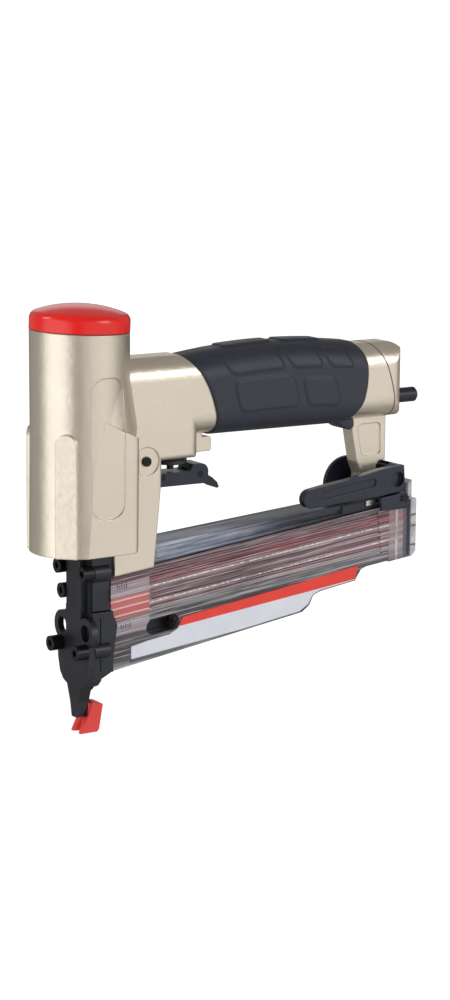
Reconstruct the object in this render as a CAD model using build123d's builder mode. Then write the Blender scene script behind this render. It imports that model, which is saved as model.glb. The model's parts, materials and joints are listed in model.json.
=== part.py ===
"""Pneumatic brad nailer: a hand tool that drives thin headless pins.

The frame: the origin is where the drive axis meets the work, at the end of the nose tip.
+Z runs up the drive axis to the cap, +X runs back along the handle, and the tool is
roughly symmetric about the XZ plane.  The magazine rises to the rear by feed_angle.
All sizes are millimetres.  Pairs named for an outline are (X, Z) points unless said.
"""
from build123d import *
import math
import os

os.makedirs("parts", exist_ok=True)

# ---------------------------------------------------------------- driving dimensions
# Barrel of the housing
barrel_radius = 22.0
barrel_taper = 0.7
barrel_floor_z = 83.5
barrel_straight_z = 140.0
barrel_flat_inset = 1.4
barrel_flat_top_out = 0.4
barrel_flat_top_z = 162.0
floor_thickness = 5.0
spigot_radius = 6.0
barrel_wall = 5.5
facet_angle = 45.0
facet_stand = 1.2
facet_half_width = 4.9
facet_top_z = 138.0
facet_depth = 5.0
pad_rear_x = 18.4
pad_top_z = 134.0
pad_edge_round = 3.2
web_rear_x = 24.0
web_swell = 4.4
web_slope = 9.1
web_top_z = 168.0
panel_x = 2.0
panel_width = 17.0
panel_low_z = 100.0
panel_high_z = 162.0
panel_corner = 7.0
panel_depth = 0.6

# Cap
cap_seat_z = 180.6
cap_slope = 2.5
cap_overhang = 0.1
cap_gap = 0.35
cap_wall_height = 5.2
cap_shoulder_height = 8.3
cap_shoulder_width = 2.4
cap_height = 11.6
cap_crown_radius = 1.5
cap_shoulder_bulge = (0.28, 0.58)
cap_dome_bulge = 0.26
cap_lip = 1.3
cap_plate_height = 2.0
cap_cavity_height = 4.9
cap_screw_radius = 1.4
cap_screw_head_radius = 2.2
cap_screw_head_height = 2.2
cap_screw_depth = 9.0
cap_screw_hex = 1.1
cap_screw_hex_depth = 1.3

# Drive parts
sleeve_space = 1.5
sleeve_wall = 1.5
sleeve_top_z = 172.0
sleeve_collar_height = 4.0
piston_height = 8.0
piston_hub_radius = 6.0
piston_hub_step = 2.0
piston_ring_height = 2.0
piston_ring_depth = 1.6
bumper_height = 8.5
bumper_hole_radius = 4.0
bumper_chamfer = (3.0, 2.5)
blade_size = 1.2
driver_end_z = 0.5
head_valve_space = 1.1
head_valve_height = 3.0
head_valve_stem_radius = 6.0
head_valve_stem_height = 4.6
head_spring_radius = 9.0
head_spring_wire = 0.75
head_spring_turns = 2.5
head_spring_top_z = 185.0

# Leg, boss and neck of the housing
leg_half_width = 13.8
leg_foot_x = 29.5
leg_knee_x = 34.2
leg_knee_z = 120.0
leg_edge_round = 2.0
boss_low_z = 121.7
boss_rear_x = 53.9
boss_chamfer = (2.5, 3.0)
boss_top = (48.0, 148.0)
boss_shoulder_z = 131.7
boss_corner = 5.0
boss_edge_round = 2.5
neck_low_z = 131.2
neck_top_z = 167.4
neck_corner = 10.0
lug_half_width = 2.6
lug_low_z = 122.0
lug_high_z = 128.7
lug_rear_x = 66.4

# Grip, tail and air inlet
grip_width = 31.0
grip_corner = 13.0
grip_wall = 2.4
grip_low_edge = ((38.0, 129.5), (150.0, 128.4))
grip_crown = ((38.0, 165.7), (96.0, 170.9), (150.0, 166.8))
grip_front_edge = ((39.8, 173.0), (57.1, 154.6), (62.8, 128.0))
grip_rear_edge = ((140.3, 172.0), (145.9, 152.0), (133.5, 125.0))
grip_lip_outline = ((132.0, 130.3), (144.0, 130.3), (144.0, 127.0), (141.6, 125.2),
                    (138.2, 126.3), (135.0, 128.6), (132.0, 129.0))
grip_lip_half_width = 6.5
core_low_z = 131.4
core_top_z = 164.4
tail_front_x = 126.0
tail_width = 27.6
tail_low_z = 130.6
tail_top_z = 166.0
tail_corner = 10.5
tail_end_round = 6.0
tail_top_round = 5.0
tool_rear_x = 167.0
seam_edge = ((148.3, 170.0), (158.2, 152.5), (161.7, 128.0))
inlet_z = 138.7
inlet_radius = 3.5
inlet_reach = 16.0
inlet_flange_radius = 5.9
inlet_flange_thickness = 1.6
inlet_thread_radius = 4.8
inlet_thread_length = 8.0
inlet_bore_radius = 2.2
inlet_chamfer = 0.7

# Strut between the tail and the rail
strut_half_width = 4.0
strut_top_x = 144.4
strut_waist = (147.2, 109.5)
strut_foot_x = 149.6
strut_foot_z = 103.6
strut_rear_x = 163.4
strut_shelf_z = 109.2
strut_post_x = 158.2
strut_panel_outline = ((146.9, 127.4), (160.6, 127.4), (161.0, 112.2), (149.8, 112.2))
strut_panel_depth = 0.7
strut_panel_corner = 2.4
strut_top_z = 124.0

# Trigger group
trigger_pivot = (26.0, 122.2)
trigger_pin_radius = 2.1
trigger_pin_stand = 0.4
trigger_eye_radius = 3.8
trigger_recess_radius = 6.4
trigger_recess_flat = 4.0
trigger_recess_depth = 0.6
trigger_half_width = 5.5
trigger_bottom_z = 108.0
trigger_top_z = 114.3
trigger_heel_z = 117.2
trigger_heel_x = (53.8, 55.4)
trigger_rear_x = 63.3
trigger_gap = 0.7
trigger_heel_arc = ((-3.4, 0.0), (-0.9, -1.3), (0.0, -4.4))
trigger_front_step = (1.5, -9.0)
trigger_crook_x = 37.2
trigger_slot_front = 7.4
trigger_slot_rear = 4.0
trigger_slot_low_z = 105.0
trigger_slot_high_z = 128.2
lever_channel_x = 41.2
lever_channel_roof = 0.9
lever_channel_heel = 0.4
safety_pivot = (58.9, 112.4)
safety_pin_radius = 1.5
safety_half_width = 2.2
safety_boss_radius = 2.6
# The lever's outline, as (X, Z) steps from its pivot
safety_outline = ((-12.0, -1.4), (-1.0, -3.0), (4.3, -4.5), (8.0, -6.8), (11.2, -8.0),
                  (12.3, -7.6), (11.3, -5.2), (8.5, -2.7), (4.4, -0.4), (1.0, 2.6), (-12.0, 1.0))
stop_pin_x = 39.3
valve_x = 46.4
valve_radius = 6.2
valve_neck_radius = 6.6
valve_flange_radius = 7.5
valve_flange_z = (118.0, 119.9)
valve_depth = 15.0
valve_floor = 5.0
valve_spring_radius = 2.2
valve_spring_wire = 0.35
stem_radius = 1.6
stem_collar_radius = 2.4
stem_collar_height = 2.0

# Magazine, along a feed line that rises to the rear
feed_angle = 6.0
feed_z = 50.0
magazine_front_x = 9.5
magazine_rear_x = 162.4
magazine_top = 21.3
cover_near_y = -9.6
cover_wall = 1.9
split_y = -0.6
base_far_y = 8.6
cover_front_depth = 22.6
cover_mid_depth = 19.2
cover_step_depth = 11.6
cover_tail_depth = 5.6
# X of each turn in the stepped lower edge
cover_step_x = (113.0, 117.0, 119.0, 123.0, 143.0, 146.4, 149.4)
cover_pocket_low = -4.6
cover_pocket_roof = 2.2
rib_count = 9
rib_pitch = 2.45
rib_groove_radius = 0.9
rib_groove_out = 0.3
rib_start_x = 31.5
rib_end_x = 158.0
slot_x = 36.9
slot_height = -7.4
slot_length = 17.5
slot_width = 7.0
base_groove_pitch = 6.5
base_groove_width = 3.5
base_groove_low = -2.0
base_groove_depth = 1.2
# Label outline as (X, height above the feed line) pairs from its lower front corner
label_outline = ((20.0, -21.0), (20.0, -13.6), (28.0, -12.9), (40.3, -12.6), (44.6, -10.8),
                 (47.2, -6.3), (144.4, -4.1), (142.4, -10.4), (122.6, -10.9), (118.4, -12.2),
                 (116.0, -16.0), (111.0, -18.4))
label_thickness = 0.5
inner_rail_front = 20.0
inner_rail_low = -2.0
inner_rail_thickness = 1.2
inner_rail_gap = 0.2
rail_half_width = 8.5
rail_front_height = 8.4
rail_rear_height = 4.4
rail_rear_x = 159.0
rail_flute_end_x = 134.6
rail_flute_depth = 0.8
rail_flute_edge = 1.5
rail_block_x = (135.4, 148.0)
catch_block_x = (149.1, 156.7)
catch_block_heights = (1.9, 0.3)
end_cap_length = 16.0
end_cap_low = -6.2
end_cap_corner = (2.0, 2.2)
end_cap_groove = (8.6, 12.2)
end_cap_groove_depth = 1.2
end_cap_stand_length = 3.4
end_cap_stand_height = 8.6
end_cap_stand_half_width = 7.0
pusher_start = 1.9
pusher_length = 17.6
pusher_low = -1.7
pusher_high = 14.5

# Latch and its bracket
latch_pivot_x = 167.4
latch_pivot_height = 23.9
latch_pin_radius = 1.4
latch_pin_chamfer = 0.4
latch_inner_y = 9.9
latch_wing = 4.2
latch_hub_radius = 2.2
latch_nose = (114.5, 96.5)
latch_nose_radius = 4.3
latch_lower_edge = ((132.3, 93.1), (153.6, 94.0), (160.5, 94.9), (167.0, 95.7))
latch_rear_edge = ((168.1, 98.1), (167.3, 107.8))
latch_upper_edge = ((153.3, 106.7), (136.1, 103.6), (120.7, 101.8))
latch_scoop_centre = (136.0, 99.3)
latch_scoop_size = (31.0, 3.6)
latch_scoop_angle = 6.8
latch_scoop_depth = 0.8
latch_dish_centre = (163.8, 101.2)
latch_dish_radius = 3.6
latch_dish_depth = 2.4
latch_pad_centre = (152.0, 97.0)
latch_pad_radius = 13.0
latch_pad_thickness = 2.1
latch_pad_low = 25.0
bridge_outline = ((161.2, 95.4), (168.4, 95.7), (168.4, 101.0), (166.8, 107.8),
                  (163.4, 107.8), (161.2, 106.4))
bridge_hollow_x = (162.8, 166.4)
bridge_hollow_z = 98.6
bridge_hollow_half_width = 7.4
cheek_thickness = 1.8
cheek_outline = ((154.8, 86.9), (170.8, 86.9), (170.6, 92.1), (168.8, 94.7), (162.3, 93.9),
                 (154.4, 93.3))
cheek_ring_radius = 2.4
cheek_ring_depth = 0.5

# Nose
nose_front_x = -3.9
plate_thickness = 3.1
nose_half_width = 12.2
nose_end_z = 7.2
nose_rear_x = 1.8
plate_half_width = 6.2
plate_shoulder_z = 52.0
# Lower outline of the plate and the base as (Y, Z) pairs, near half, from the end upward
nose_taper = ((2.0, 7.2), (3.4, 14.1), (6.0, 21.4), (9.7, 22.9), (12.4, 26.0))
plate_cheek = (14.1, 32.5)
plate_cheek_top_z = 43.0
base_rear_edge = ((1.8, 7.2), (1.8, 19.6), (3.0, 21.0), (3.4, 26.4), (8.6, 28.9))
flank_half_gap = 9.9
flank_outline = ((5.0, 27.3), (8.6, 28.9), (11.6, 50.0), (9.5, 55.0), (5.0, 55.0))
part_line_x = 3.0
part_line_width = 0.5
part_line_z = (29.5, 54.0)
side_recess_z = (56.6, 70.9)
side_recess_depth = 3.4
side_block_x = (-0.3, 8.0)
side_block_z = (57.2, 70.4)
side_block_notch = (5.9, 63.8)
side_block_thickness = 2.8
ear_y = 10.3
ear_z = 47.4
ear_radius = 6.9
ear_hole_radius = 3.9
upper_screw = (11.2, 74.6)
third_screw = (9.8, 63.4)
lower_screw = (11.1, 39.4)
upper_head_height = 5.2
third_head_height = 4.0
lower_head_height = 5.9
screw_head_radius = 3.4
screw_radius = 2.0
screw_reach = 7.0
screw_hex = 1.75
screw_hex_depth = 2.4
screw_boss_radius = 3.6
tip_half_width = 4.4
tip_outline = ((3.5, 14.0), (8.6, 12.4), (6.6, 1.2), (5.6, 0.0), (-2.9, 0.0), (-0.8, 4.2),
               (1.8, 9.2))
tip_block_outline = ((1.8, 2.0), (6.0, 2.0), (6.6, 13.0), (1.8, 13.4))
tip_channel = ((-6.0, 3.6), (0.9, 0.9))
leg_screw_z = 92.0
leg_screw_y = -8.0
leg_screw_size = 2.0

# Clearances
fit = 0.06
gap = 0.3
over = 1.0

# ---------------------------------------------------------------- worked-out values
slope = math.tan(math.radians(feed_angle))
rise = math.cos(math.radians(feed_angle))
barrel_foot_radius = barrel_radius + barrel_taper
barrel_flat = barrel_foot_radius - barrel_flat_inset
barrel_flat_top = barrel_radius + barrel_flat_top_out
facet_distance = barrel_radius + facet_stand
chamber_radius = barrel_radius - barrel_wall
chamber_floor_z = barrel_floor_z + floor_thickness
sleeve_bore_radius = chamber_radius - sleeve_space - sleeve_wall
head_valve_radius = chamber_radius - head_valve_space
cap_radius = barrel_radius + cap_overhang
bumper_top_z = chamber_floor_z + bumper_height
piston_top_z = sleeve_top_z
piston_bottom_z = piston_top_z - piston_height
stroke = piston_bottom_z - bumper_top_z - gap
driver_tip_z = driver_end_z + stroke
plate_back_x = nose_front_x + plate_thickness
cap_plate_radius = cap_radius - cap_lip
cap_screw_circle = cap_plate_radius - cap_screw_head_radius
cap_seat = Plane(
    origin=(0, 0, cap_seat_z),
    x_dir=(math.cos(math.radians(cap_slope)), 0, -math.sin(math.radians(cap_slope))),
    z_dir=(math.sin(math.radians(cap_slope)), 0, math.cos(math.radians(cap_slope))),
)
channel_size = blade_size + 4 * fit


def side(y=0.0):
    """A plane facing the near side (-Y) at the given Y; its x is X and its y is Z."""
    return Plane(origin=(0, y, 0), x_dir=(1, 0, 0), z_dir=(0, -1, 0))


def above_feed(x, height):
    """The XZ point at x whose distance above the feed line is height."""
    return (x, feed_z + height / rise + x * slope)


def leg_rear_x(z):
    """X of the leg's rear edge at height z."""
    foot_z = above_feed(leg_foot_x, magazine_top)[1]
    return leg_foot_x + (leg_knee_x - leg_foot_x) * (z - foot_z) / (leg_knee_z - foot_z)


def rail_top(x):
    """Height of the rail's top above the feed line at x."""
    along = (x - leg_foot_x) / (rail_rear_x - leg_foot_x)
    return magazine_top + rail_front_height + (rail_rear_height - rail_front_height) * along


def lower_edge(inset):
    """Points along the magazine's stepped lower edge, front to rear, raised by inset."""
    heights = (
        -cover_mid_depth, 2.4 - cover_mid_depth, -1.2 - cover_step_depth, -cover_step_depth,
        0.6 - cover_step_depth, -0.8 - cover_tail_depth, -cover_tail_depth,
    )
    return [above_feed(x, height + inset) for x, height in zip(cover_step_x, heights)]


def flats_slab(inset):
    """The space between the barrel's leaning side flats."""
    with BuildPart() as slab:
        with BuildSketch(Plane.YZ):
            with BuildLine():
                Polyline(
                    (inset - barrel_flat, barrel_floor_z), (barrel_flat - inset, barrel_floor_z),
                    (barrel_flat_top - inset, barrel_flat_top_z),
                    (barrel_flat_top - inset, cap_seat_z + barrel_radius),
                    (inset - barrel_flat_top, cap_seat_z + barrel_radius),
                    (inset - barrel_flat_top, barrel_flat_top_z), close=True,
                )
            make_face()
        extrude(amount=2 * barrel_radius, both=True)
    return slab.part


def swell_body(inset):
    """The barrel's swell towards the neck, which grows downwards to the pads."""
    with BuildPart() as swell:
        with BuildSketch(Plane.XY.offset(pad_top_z)):
            with Locations((web_swell, 0)):
                Circle(barrel_radius - inset)
        with BuildSketch(Plane.XY.offset(web_top_z)):
            Circle(barrel_radius - inset - over)
        loft()
        with BuildSketch(side()):
            with BuildLine():
                Polyline(
                    (0, pad_top_z), (pad_rear_x, pad_top_z), (web_rear_x, pad_top_z + web_slope),
                    (web_rear_x, web_top_z), (0, web_top_z), close=True,
                )
            make_face()
        extrude(amount=2 * barrel_radius, both=True, mode=Mode.INTERSECT)
        add(flats_slab(inset), mode=Mode.INTERSECT)
    return swell.part


def barrel_body(inset):
    """The barrel without its facets, every outer surface drawn in by inset."""
    with BuildPart() as body:
        with BuildSketch(side()):
            with BuildLine():
                Polyline(
                    (0, barrel_floor_z),
                    (barrel_foot_radius - inset, barrel_floor_z),
                    (barrel_radius - inset, barrel_straight_z),
                    (barrel_radius - inset, cap_seat_z + barrel_radius),
                    (0, cap_seat_z + barrel_radius),
                    close=True,
                )
            make_face()
        revolve(axis=Axis.Z)
        split(bisect_by=cap_seat, keep=Keep.BOTTOM)
        # The pads that square off the lower barrel, with a slope up to the swell
        with BuildSketch(side()):
            with BuildLine():
                Polyline(
                    (0, barrel_floor_z), (pad_rear_x - inset, barrel_floor_z),
                    (pad_rear_x - inset, pad_top_z), (0, pad_top_z + pad_rear_x / 2), close=True,
                )
            make_face()
        extrude(amount=barrel_foot_radius, both=True)
        add(flats_slab(inset), mode=Mode.INTERSECT)
        # Rounded edges behind and below the pads; the last of the four is the slope's
        rear_x = pad_rear_x - inset
        pad_edges = body.edges().filter_by_position(Axis.X, rear_x - fit, rear_x + fit)
        fillet(pad_edges.sort_by(Axis.Z)[:-1], radius=pad_edge_round)
        add(swell_body(inset))
    return body.part


def keep(piece, name):
    """Label a finished piece and write it."""
    piece.part.label = name
    export_step(piece.part, f"parts/{name}.step")


# ---------------------------------------------------------------- housing casting
with BuildPart() as facet_form:
    for hand in (-1, 1):
        toward = (
            -math.cos(math.radians(facet_angle)),
            hand * math.sin(math.radians(facet_angle)),
            0,
        )
        facet = Plane(
            origin=(facet_distance * toward[0], facet_distance * toward[1], 0),
            x_dir=(-toward[1], toward[0], 0),
            z_dir=toward,
        )
        with BuildSketch(facet):
            with Locations((0, (barrel_floor_z + facet_top_z - facet_half_width) / 2)):
                Rectangle(2 * facet_half_width, facet_top_z - facet_half_width - barrel_floor_z)
            with Locations((0, facet_top_z - facet_half_width)):
                Circle(facet_half_width)
        extrude(amount=-facet_depth)

with BuildPart() as leg_form:
    with BuildSketch(side()):
        with BuildLine():
            Polyline(
                above_feed(magazine_front_x, magazine_top),
                above_feed(leg_foot_x, magazine_top),
                (leg_knee_x, leg_knee_z),
                (leg_knee_x, boss_low_z + boss_edge_round + over),
                (magazine_front_x, boss_low_z + boss_edge_round + over),
                close=True,
            )
        make_face()
    extrude(amount=leg_half_width, both=True)
    fillet(leg_form.edges().filter_by(Plane.XZ).group_by(Axis.X)[-1], radius=leg_edge_round)

with BuildPart() as boss_form:
    with BuildSketch(side()):
        with BuildLine():
            Polyline(
                (0, boss_low_z),
                (boss_rear_x - boss_chamfer[0], boss_low_z),
                (boss_rear_x, boss_low_z + boss_chamfer[1]),
                (boss_rear_x, boss_shoulder_z),
                boss_top,
                (0, boss_top[1]),
                close=True,
            )
        make_face()
    extrude(amount=leg_half_width, both=True)
    with BuildSketch(Plane.XY.offset(boss_low_z)):
        with Locations((0, 0)):
            RectangleRounded(2 * boss_rear_x, 2 * leg_half_width, boss_corner)
    extrude(amount=boss_top[1] - boss_low_z, mode=Mode.INTERSECT)
    with BuildSketch(Plane.YZ):
        with Locations((0, boss_low_z + leg_half_width)):
            RectangleRounded(2 * leg_half_width, 2 * leg_half_width, boss_edge_round)
    extrude(amount=boss_rear_x, mode=Mode.INTERSECT)

with BuildPart() as neck_form:
    with BuildSketch(Plane.YZ):
        with Locations((0, (neck_top_z + neck_low_z) / 2)):
            RectangleRounded(2 * leg_half_width, neck_top_z - neck_low_z, neck_corner)
    extrude(amount=grip_front_edge[2][0] + over)
    with BuildSketch(side()):
        with BuildLine():
            front_edge = ThreePointArc(*grip_front_edge)
            Polyline(
                front_edge @ 1,
                (0, grip_front_edge[2][1]),
                (0, grip_front_edge[0][1]),
                front_edge @ 0,
            )
        make_face()
    extrude(amount=grip_width, both=True, mode=Mode.INTERSECT)

with BuildPart() as lug_form:
    with BuildSketch(side()) as lug_outline:
        with BuildLine():
            Polyline(
                (boss_top[0], neck_low_z + over), (boss_top[0], lug_low_z),
                (lug_rear_x, lug_low_z), (lug_rear_x, lug_high_z),
                (grip_front_edge[2][0] - over, lug_high_z),
                (grip_front_edge[2][0] - over, neck_low_z + over), close=True,
            )
        make_face()
        fillet(lug_outline.vertices().group_by(Axis.X)[-1], radius=over)
    extrude(amount=lug_half_width, both=True)

with BuildPart() as core_form:
    with BuildSketch(Plane.YZ.offset(leg_knee_x)):
        with Locations((0, (core_low_z + core_top_z) / 2)):
            RectangleRounded(
                grip_width - 2 * grip_wall, core_top_z - core_low_z, grip_corner - grip_wall
            )
    extrude(amount=seam_edge[0][0] - leg_knee_x)

with BuildPart() as tail_form:
    with BuildSketch(Plane.YZ.offset(tail_front_x)):
        with Locations((0, (tail_top_z + tail_low_z) / 2)):
            RectangleRounded(tail_width, tail_top_z - tail_low_z, tail_corner)
    extrude(amount=tool_rear_x - tail_front_x)
    with BuildSketch(side()):
        with BuildLine():
            rear_edge = ThreePointArc(*grip_rear_edge)
            crown = ThreePointArc(
                (tool_rear_x, tail_top_z - tail_top_round),
                (tool_rear_x - 0.3 * tail_top_round, tail_top_z - 0.3 * tail_top_round),
                (tool_rear_x - tail_top_round, tail_top_z),
            )
            Polyline(rear_edge @ 1, (tool_rear_x, grip_rear_edge[2][1]), crown @ 0)
            Polyline(
                crown @ 1, (tool_rear_x - tail_top_round, grip_rear_edge[0][1]), rear_edge @ 0
            )
        make_face()
    extrude(amount=tail_width, both=True, mode=Mode.INTERSECT)
    with BuildSketch(Plane.XY.offset(tail_low_z)):
        with Locations((tool_rear_x - tail_width, 0)):
            RectangleRounded(2 * tail_width, tail_width, tail_end_round)
    extrude(amount=tail_top_z - tail_low_z, mode=Mode.INTERSECT)

with BuildPart() as seam_form:
    with BuildSketch(side()):
        with BuildLine():
            seam = ThreePointArc(*seam_edge)
            Polyline(
                seam @ 1,
                (tool_rear_x + over, seam_edge[2][1]),
                (tool_rear_x + over, seam_edge[0][1]),
                seam @ 0,
            )
        make_face()
    extrude(amount=tail_width, both=True)

with BuildPart() as strut_form:
    with BuildSketch(side()):
        with BuildLine():
            Polyline(
                (strut_top_x, core_low_z + grip_wall),
                (strut_top_x, strut_top_z),
                strut_waist,
                (strut_foot_x, strut_foot_z),
                above_feed(strut_foot_x, rail_top(strut_foot_x)),
                above_feed(strut_post_x, rail_top(strut_post_x)),
                (strut_post_x, strut_shelf_z - 2 * over),
                (strut_post_x + 2 * over, strut_shelf_z),
                (strut_rear_x, strut_shelf_z),
                (strut_rear_x, tail_low_z - fit),
                (seam_edge[2][0] - over, tail_low_z - fit),
                (seam_edge[2][0] - over, core_low_z + grip_wall),
                close=True,
            )
        make_face()
    extrude(amount=strut_half_width, both=True)
    for hand in (-1, 1):
        with BuildSketch(side(hand * strut_half_width)) as strut_panel:
            with BuildLine():
                Polyline(*strut_panel_outline, close=True)
            make_face()
            fillet(strut_panel.vertices(), radius=strut_panel_corner)
        extrude(amount=strut_panel_depth, both=True, mode=Mode.SUBTRACT)

with BuildPart() as panel_form:
    with BuildSketch(side()):
        with Locations((panel_x, (panel_low_z + panel_high_z) / 2)):
            RectangleRounded(panel_width, panel_high_z - panel_low_z, panel_corner)
    extrude(amount=2 * barrel_radius, both=True)
    add(barrel_body(panel_depth), mode=Mode.SUBTRACT)

with BuildPart() as housing:
    add(barrel_body(0))
    add(facet_form.part)
    add(leg_form.part)
    add(boss_form.part)
    add(neck_form.part)
    add(lug_form.part)
    add(core_form.part)
    add(tail_form.part)
    add(seam_form.part, mode=Mode.SUBTRACT)
    add(strut_form.part)
    add(panel_form.part, mode=Mode.SUBTRACT)
    # The air chamber, open at the top, and the hole for the nose spigot in its floor
    with BuildSketch(Plane.XY.offset(chamber_floor_z)):
        Circle(chamber_radius)
    extrude(amount=cap_seat_z, mode=Mode.SUBTRACT)
    with BuildSketch(Plane.XY.offset(barrel_floor_z - over)):
        Circle(spigot_radius)
    extrude(amount=floor_thickness + 2 * over, mode=Mode.SUBTRACT)
    # The slot that the trigger swings in
    slot_x_range = (trigger_pivot[0] - trigger_slot_front, leg_knee_x + trigger_slot_rear)
    with BuildSketch(side()):
        with BuildLine():
            Polyline(
                (slot_x_range[0], trigger_slot_low_z), (slot_x_range[1], trigger_slot_low_z),
                (slot_x_range[1], trigger_slot_high_z), (slot_x_range[0], trigger_slot_high_z),
                close=True,
            )
        make_face()
    extrude(amount=trigger_half_width + trigger_gap, both=True, mode=Mode.SUBTRACT)
    # The pin's hole, and the flat-sided recess round each end of it
    with BuildSketch(side()):
        with Locations(trigger_pivot):
            Circle(trigger_pin_radius)
    extrude(amount=leg_half_width + over, both=True, mode=Mode.SUBTRACT)
    for hand in (-1, 1):
        with BuildSketch(side(hand * leg_half_width)):
            with Locations(trigger_pivot):
                Circle(trigger_recess_radius)
            with Locations((trigger_pivot[0] - trigger_recess_flat - trigger_recess_radius,
                            trigger_pivot[1])):
                Rectangle(2 * trigger_recess_radius, 2 * trigger_recess_radius, mode=Mode.SUBTRACT)
        extrude(amount=trigger_recess_depth, both=True, mode=Mode.SUBTRACT)
    # The trigger valve's bore in the boss
    with BuildSketch(Plane.XY.offset(boss_low_z - over)):
        with Locations((valve_x, 0)):
            Circle(valve_radius)
    extrude(amount=valve_depth + over, mode=Mode.SUBTRACT)
    # Tapped holes for the cap screws
    with BuildSketch(cap_seat):
        with PolarLocations(cap_screw_circle, 4, start_angle=45):
            Circle(cap_screw_radius)
    extrude(amount=-cap_screw_depth, mode=Mode.SUBTRACT)
keep(housing, "housing")

# ---------------------------------------------------------------- cap group
cap_axis = Axis(cap_seat.origin, cap_seat.z_dir)
cap_profile_plane = Plane(origin=cap_seat.origin, x_dir=cap_seat.x_dir, z_dir=(0, -1, 0))

# A sealing plate that the screws clamp; the lid hides it
with BuildPart() as cap_gasket:
    with BuildSketch(cap_seat):
        Circle(cap_plate_radius)
        Circle(chamber_radius, mode=Mode.SUBTRACT)
        with PolarLocations(cap_screw_circle, 4, start_angle=45):
            Circle(cap_screw_radius, mode=Mode.SUBTRACT)
    extrude(amount=cap_plate_height)
keep(cap_gasket, "cap_gasket")

with BuildPart() as top_cap:
    with BuildSketch(cap_profile_plane):
        with BuildLine():
            shoulder = ThreePointArc(
                (cap_radius, cap_wall_height),
                (cap_radius - cap_shoulder_bulge[0] * cap_shoulder_width,
                 cap_wall_height + cap_shoulder_bulge[1] * (cap_shoulder_height - cap_wall_height)),
                (cap_radius - cap_shoulder_width, cap_shoulder_height),
            )
            dome = ThreePointArc(
                shoulder @ 1,
                (cap_radius / 2, cap_height - cap_dome_bulge * (cap_height - cap_shoulder_height)),
                (cap_crown_radius, cap_height),
            )
            # Inside: the spring's cavity, then the recess for the sealing plate
            Polyline(
                dome @ 1, (0, cap_height), (0, cap_cavity_height),
                (chamber_radius - 2 * gap, cap_cavity_height),
                (chamber_radius - 2 * gap, cap_plate_height),
                (cap_plate_radius + fit, cap_plate_height), (cap_plate_radius + fit, cap_gap),
                (cap_radius, cap_gap), shoulder @ 0,
            )
        make_face()
    revolve(axis=cap_axis)
    # Pockets over the screw heads
    with BuildSketch(cap_seat.offset(cap_plate_height)):
        with PolarLocations(cap_screw_circle, 4, start_angle=45):
            Circle(cap_screw_head_radius + gap)
    extrude(amount=cap_screw_head_height + gap, mode=Mode.SUBTRACT)
keep(top_cap, "top_cap")

with BuildPart() as cap_screws:
    with BuildSketch(cap_seat.offset(cap_plate_height)):
        with PolarLocations(cap_screw_circle, 4, start_angle=45):
            Circle(cap_screw_head_radius)
    extrude(amount=cap_screw_head_height)
    with BuildSketch(cap_seat.offset(cap_plate_height)):
        with PolarLocations(cap_screw_circle, 4, start_angle=45):
            Circle(cap_screw_radius)
    extrude(amount=-cap_plate_height - cap_screw_depth)
    with BuildSketch(cap_seat.offset(cap_plate_height + cap_screw_head_height)):
        with PolarLocations(cap_screw_circle, 4, start_angle=45):
            RegularPolygon(cap_screw_hex, 6)
    extrude(amount=-cap_screw_hex_depth, mode=Mode.SUBTRACT)
keep(cap_screws, "cap_screws")

# ---------------------------------------------------------------- drive group
with BuildPart() as cylinder_sleeve:
    with BuildSketch(Plane.XY.offset(chamber_floor_z)):
        Circle(sleeve_bore_radius + sleeve_wall)
    extrude(amount=sleeve_top_z - chamber_floor_z)
    with BuildSketch(Plane.XY.offset(sleeve_top_z - 4 * sleeve_collar_height)):
        Circle(chamber_radius)
    extrude(amount=sleeve_collar_height)
    with BuildSketch(Plane.XY.offset(chamber_floor_z)):
        Circle(sleeve_bore_radius)
    extrude(amount=sleeve_top_z, mode=Mode.SUBTRACT)
keep(cylinder_sleeve, "cylinder_sleeve")

with BuildPart() as bumper:
    with BuildSketch(side()):
        with BuildLine():
            Polyline(
                (bumper_hole_radius, chamber_floor_z),
                (sleeve_bore_radius, chamber_floor_z),
                (sleeve_bore_radius, bumper_top_z - bumper_chamfer[1]),
                (sleeve_bore_radius - bumper_chamfer[0], bumper_top_z),
                (bumper_hole_radius, bumper_top_z),
                close=True,
            )
        make_face()
    revolve(axis=Axis.Z)
keep(bumper, "bumper")

ring_low_z = piston_top_z - 2 * piston_ring_height
with BuildPart() as piston:
    with BuildSketch(side()):
        with BuildLine():
            radius = sleeve_bore_radius - fit
            Polyline(
                (0, piston_bottom_z),
                (piston_hub_radius - over, piston_bottom_z),
                (piston_hub_radius, piston_bottom_z + piston_hub_step),
                (radius, piston_bottom_z + piston_hub_step),
                (radius, ring_low_z),
                (radius - piston_ring_depth, ring_low_z),
                (radius - piston_ring_depth, ring_low_z + piston_ring_height),
                (radius, ring_low_z + piston_ring_height),
                (radius, piston_top_z),
                (piston_hub_radius, piston_top_z),
                (piston_hub_radius - over, piston_top_z - piston_hub_step),
                (0, piston_top_z - piston_hub_step),
                close=True,
            )
        make_face()
    revolve(axis=Axis.Z)
keep(piston, "piston")

with BuildPart() as piston_ring:
    with BuildSketch(Plane.XY.offset(ring_low_z)):
        Circle(sleeve_bore_radius - fit)
        Circle(sleeve_bore_radius - fit - piston_ring_depth, mode=Mode.SUBTRACT)
    extrude(amount=piston_ring_height)
keep(piston_ring, "piston_ring")

with BuildPart() as driver_blade:
    with BuildSketch(Plane.XY.offset(driver_tip_z)):
        Rectangle(blade_size, blade_size)
    extrude(amount=piston_bottom_z - driver_tip_z)
keep(driver_blade, "driver_blade")

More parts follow.
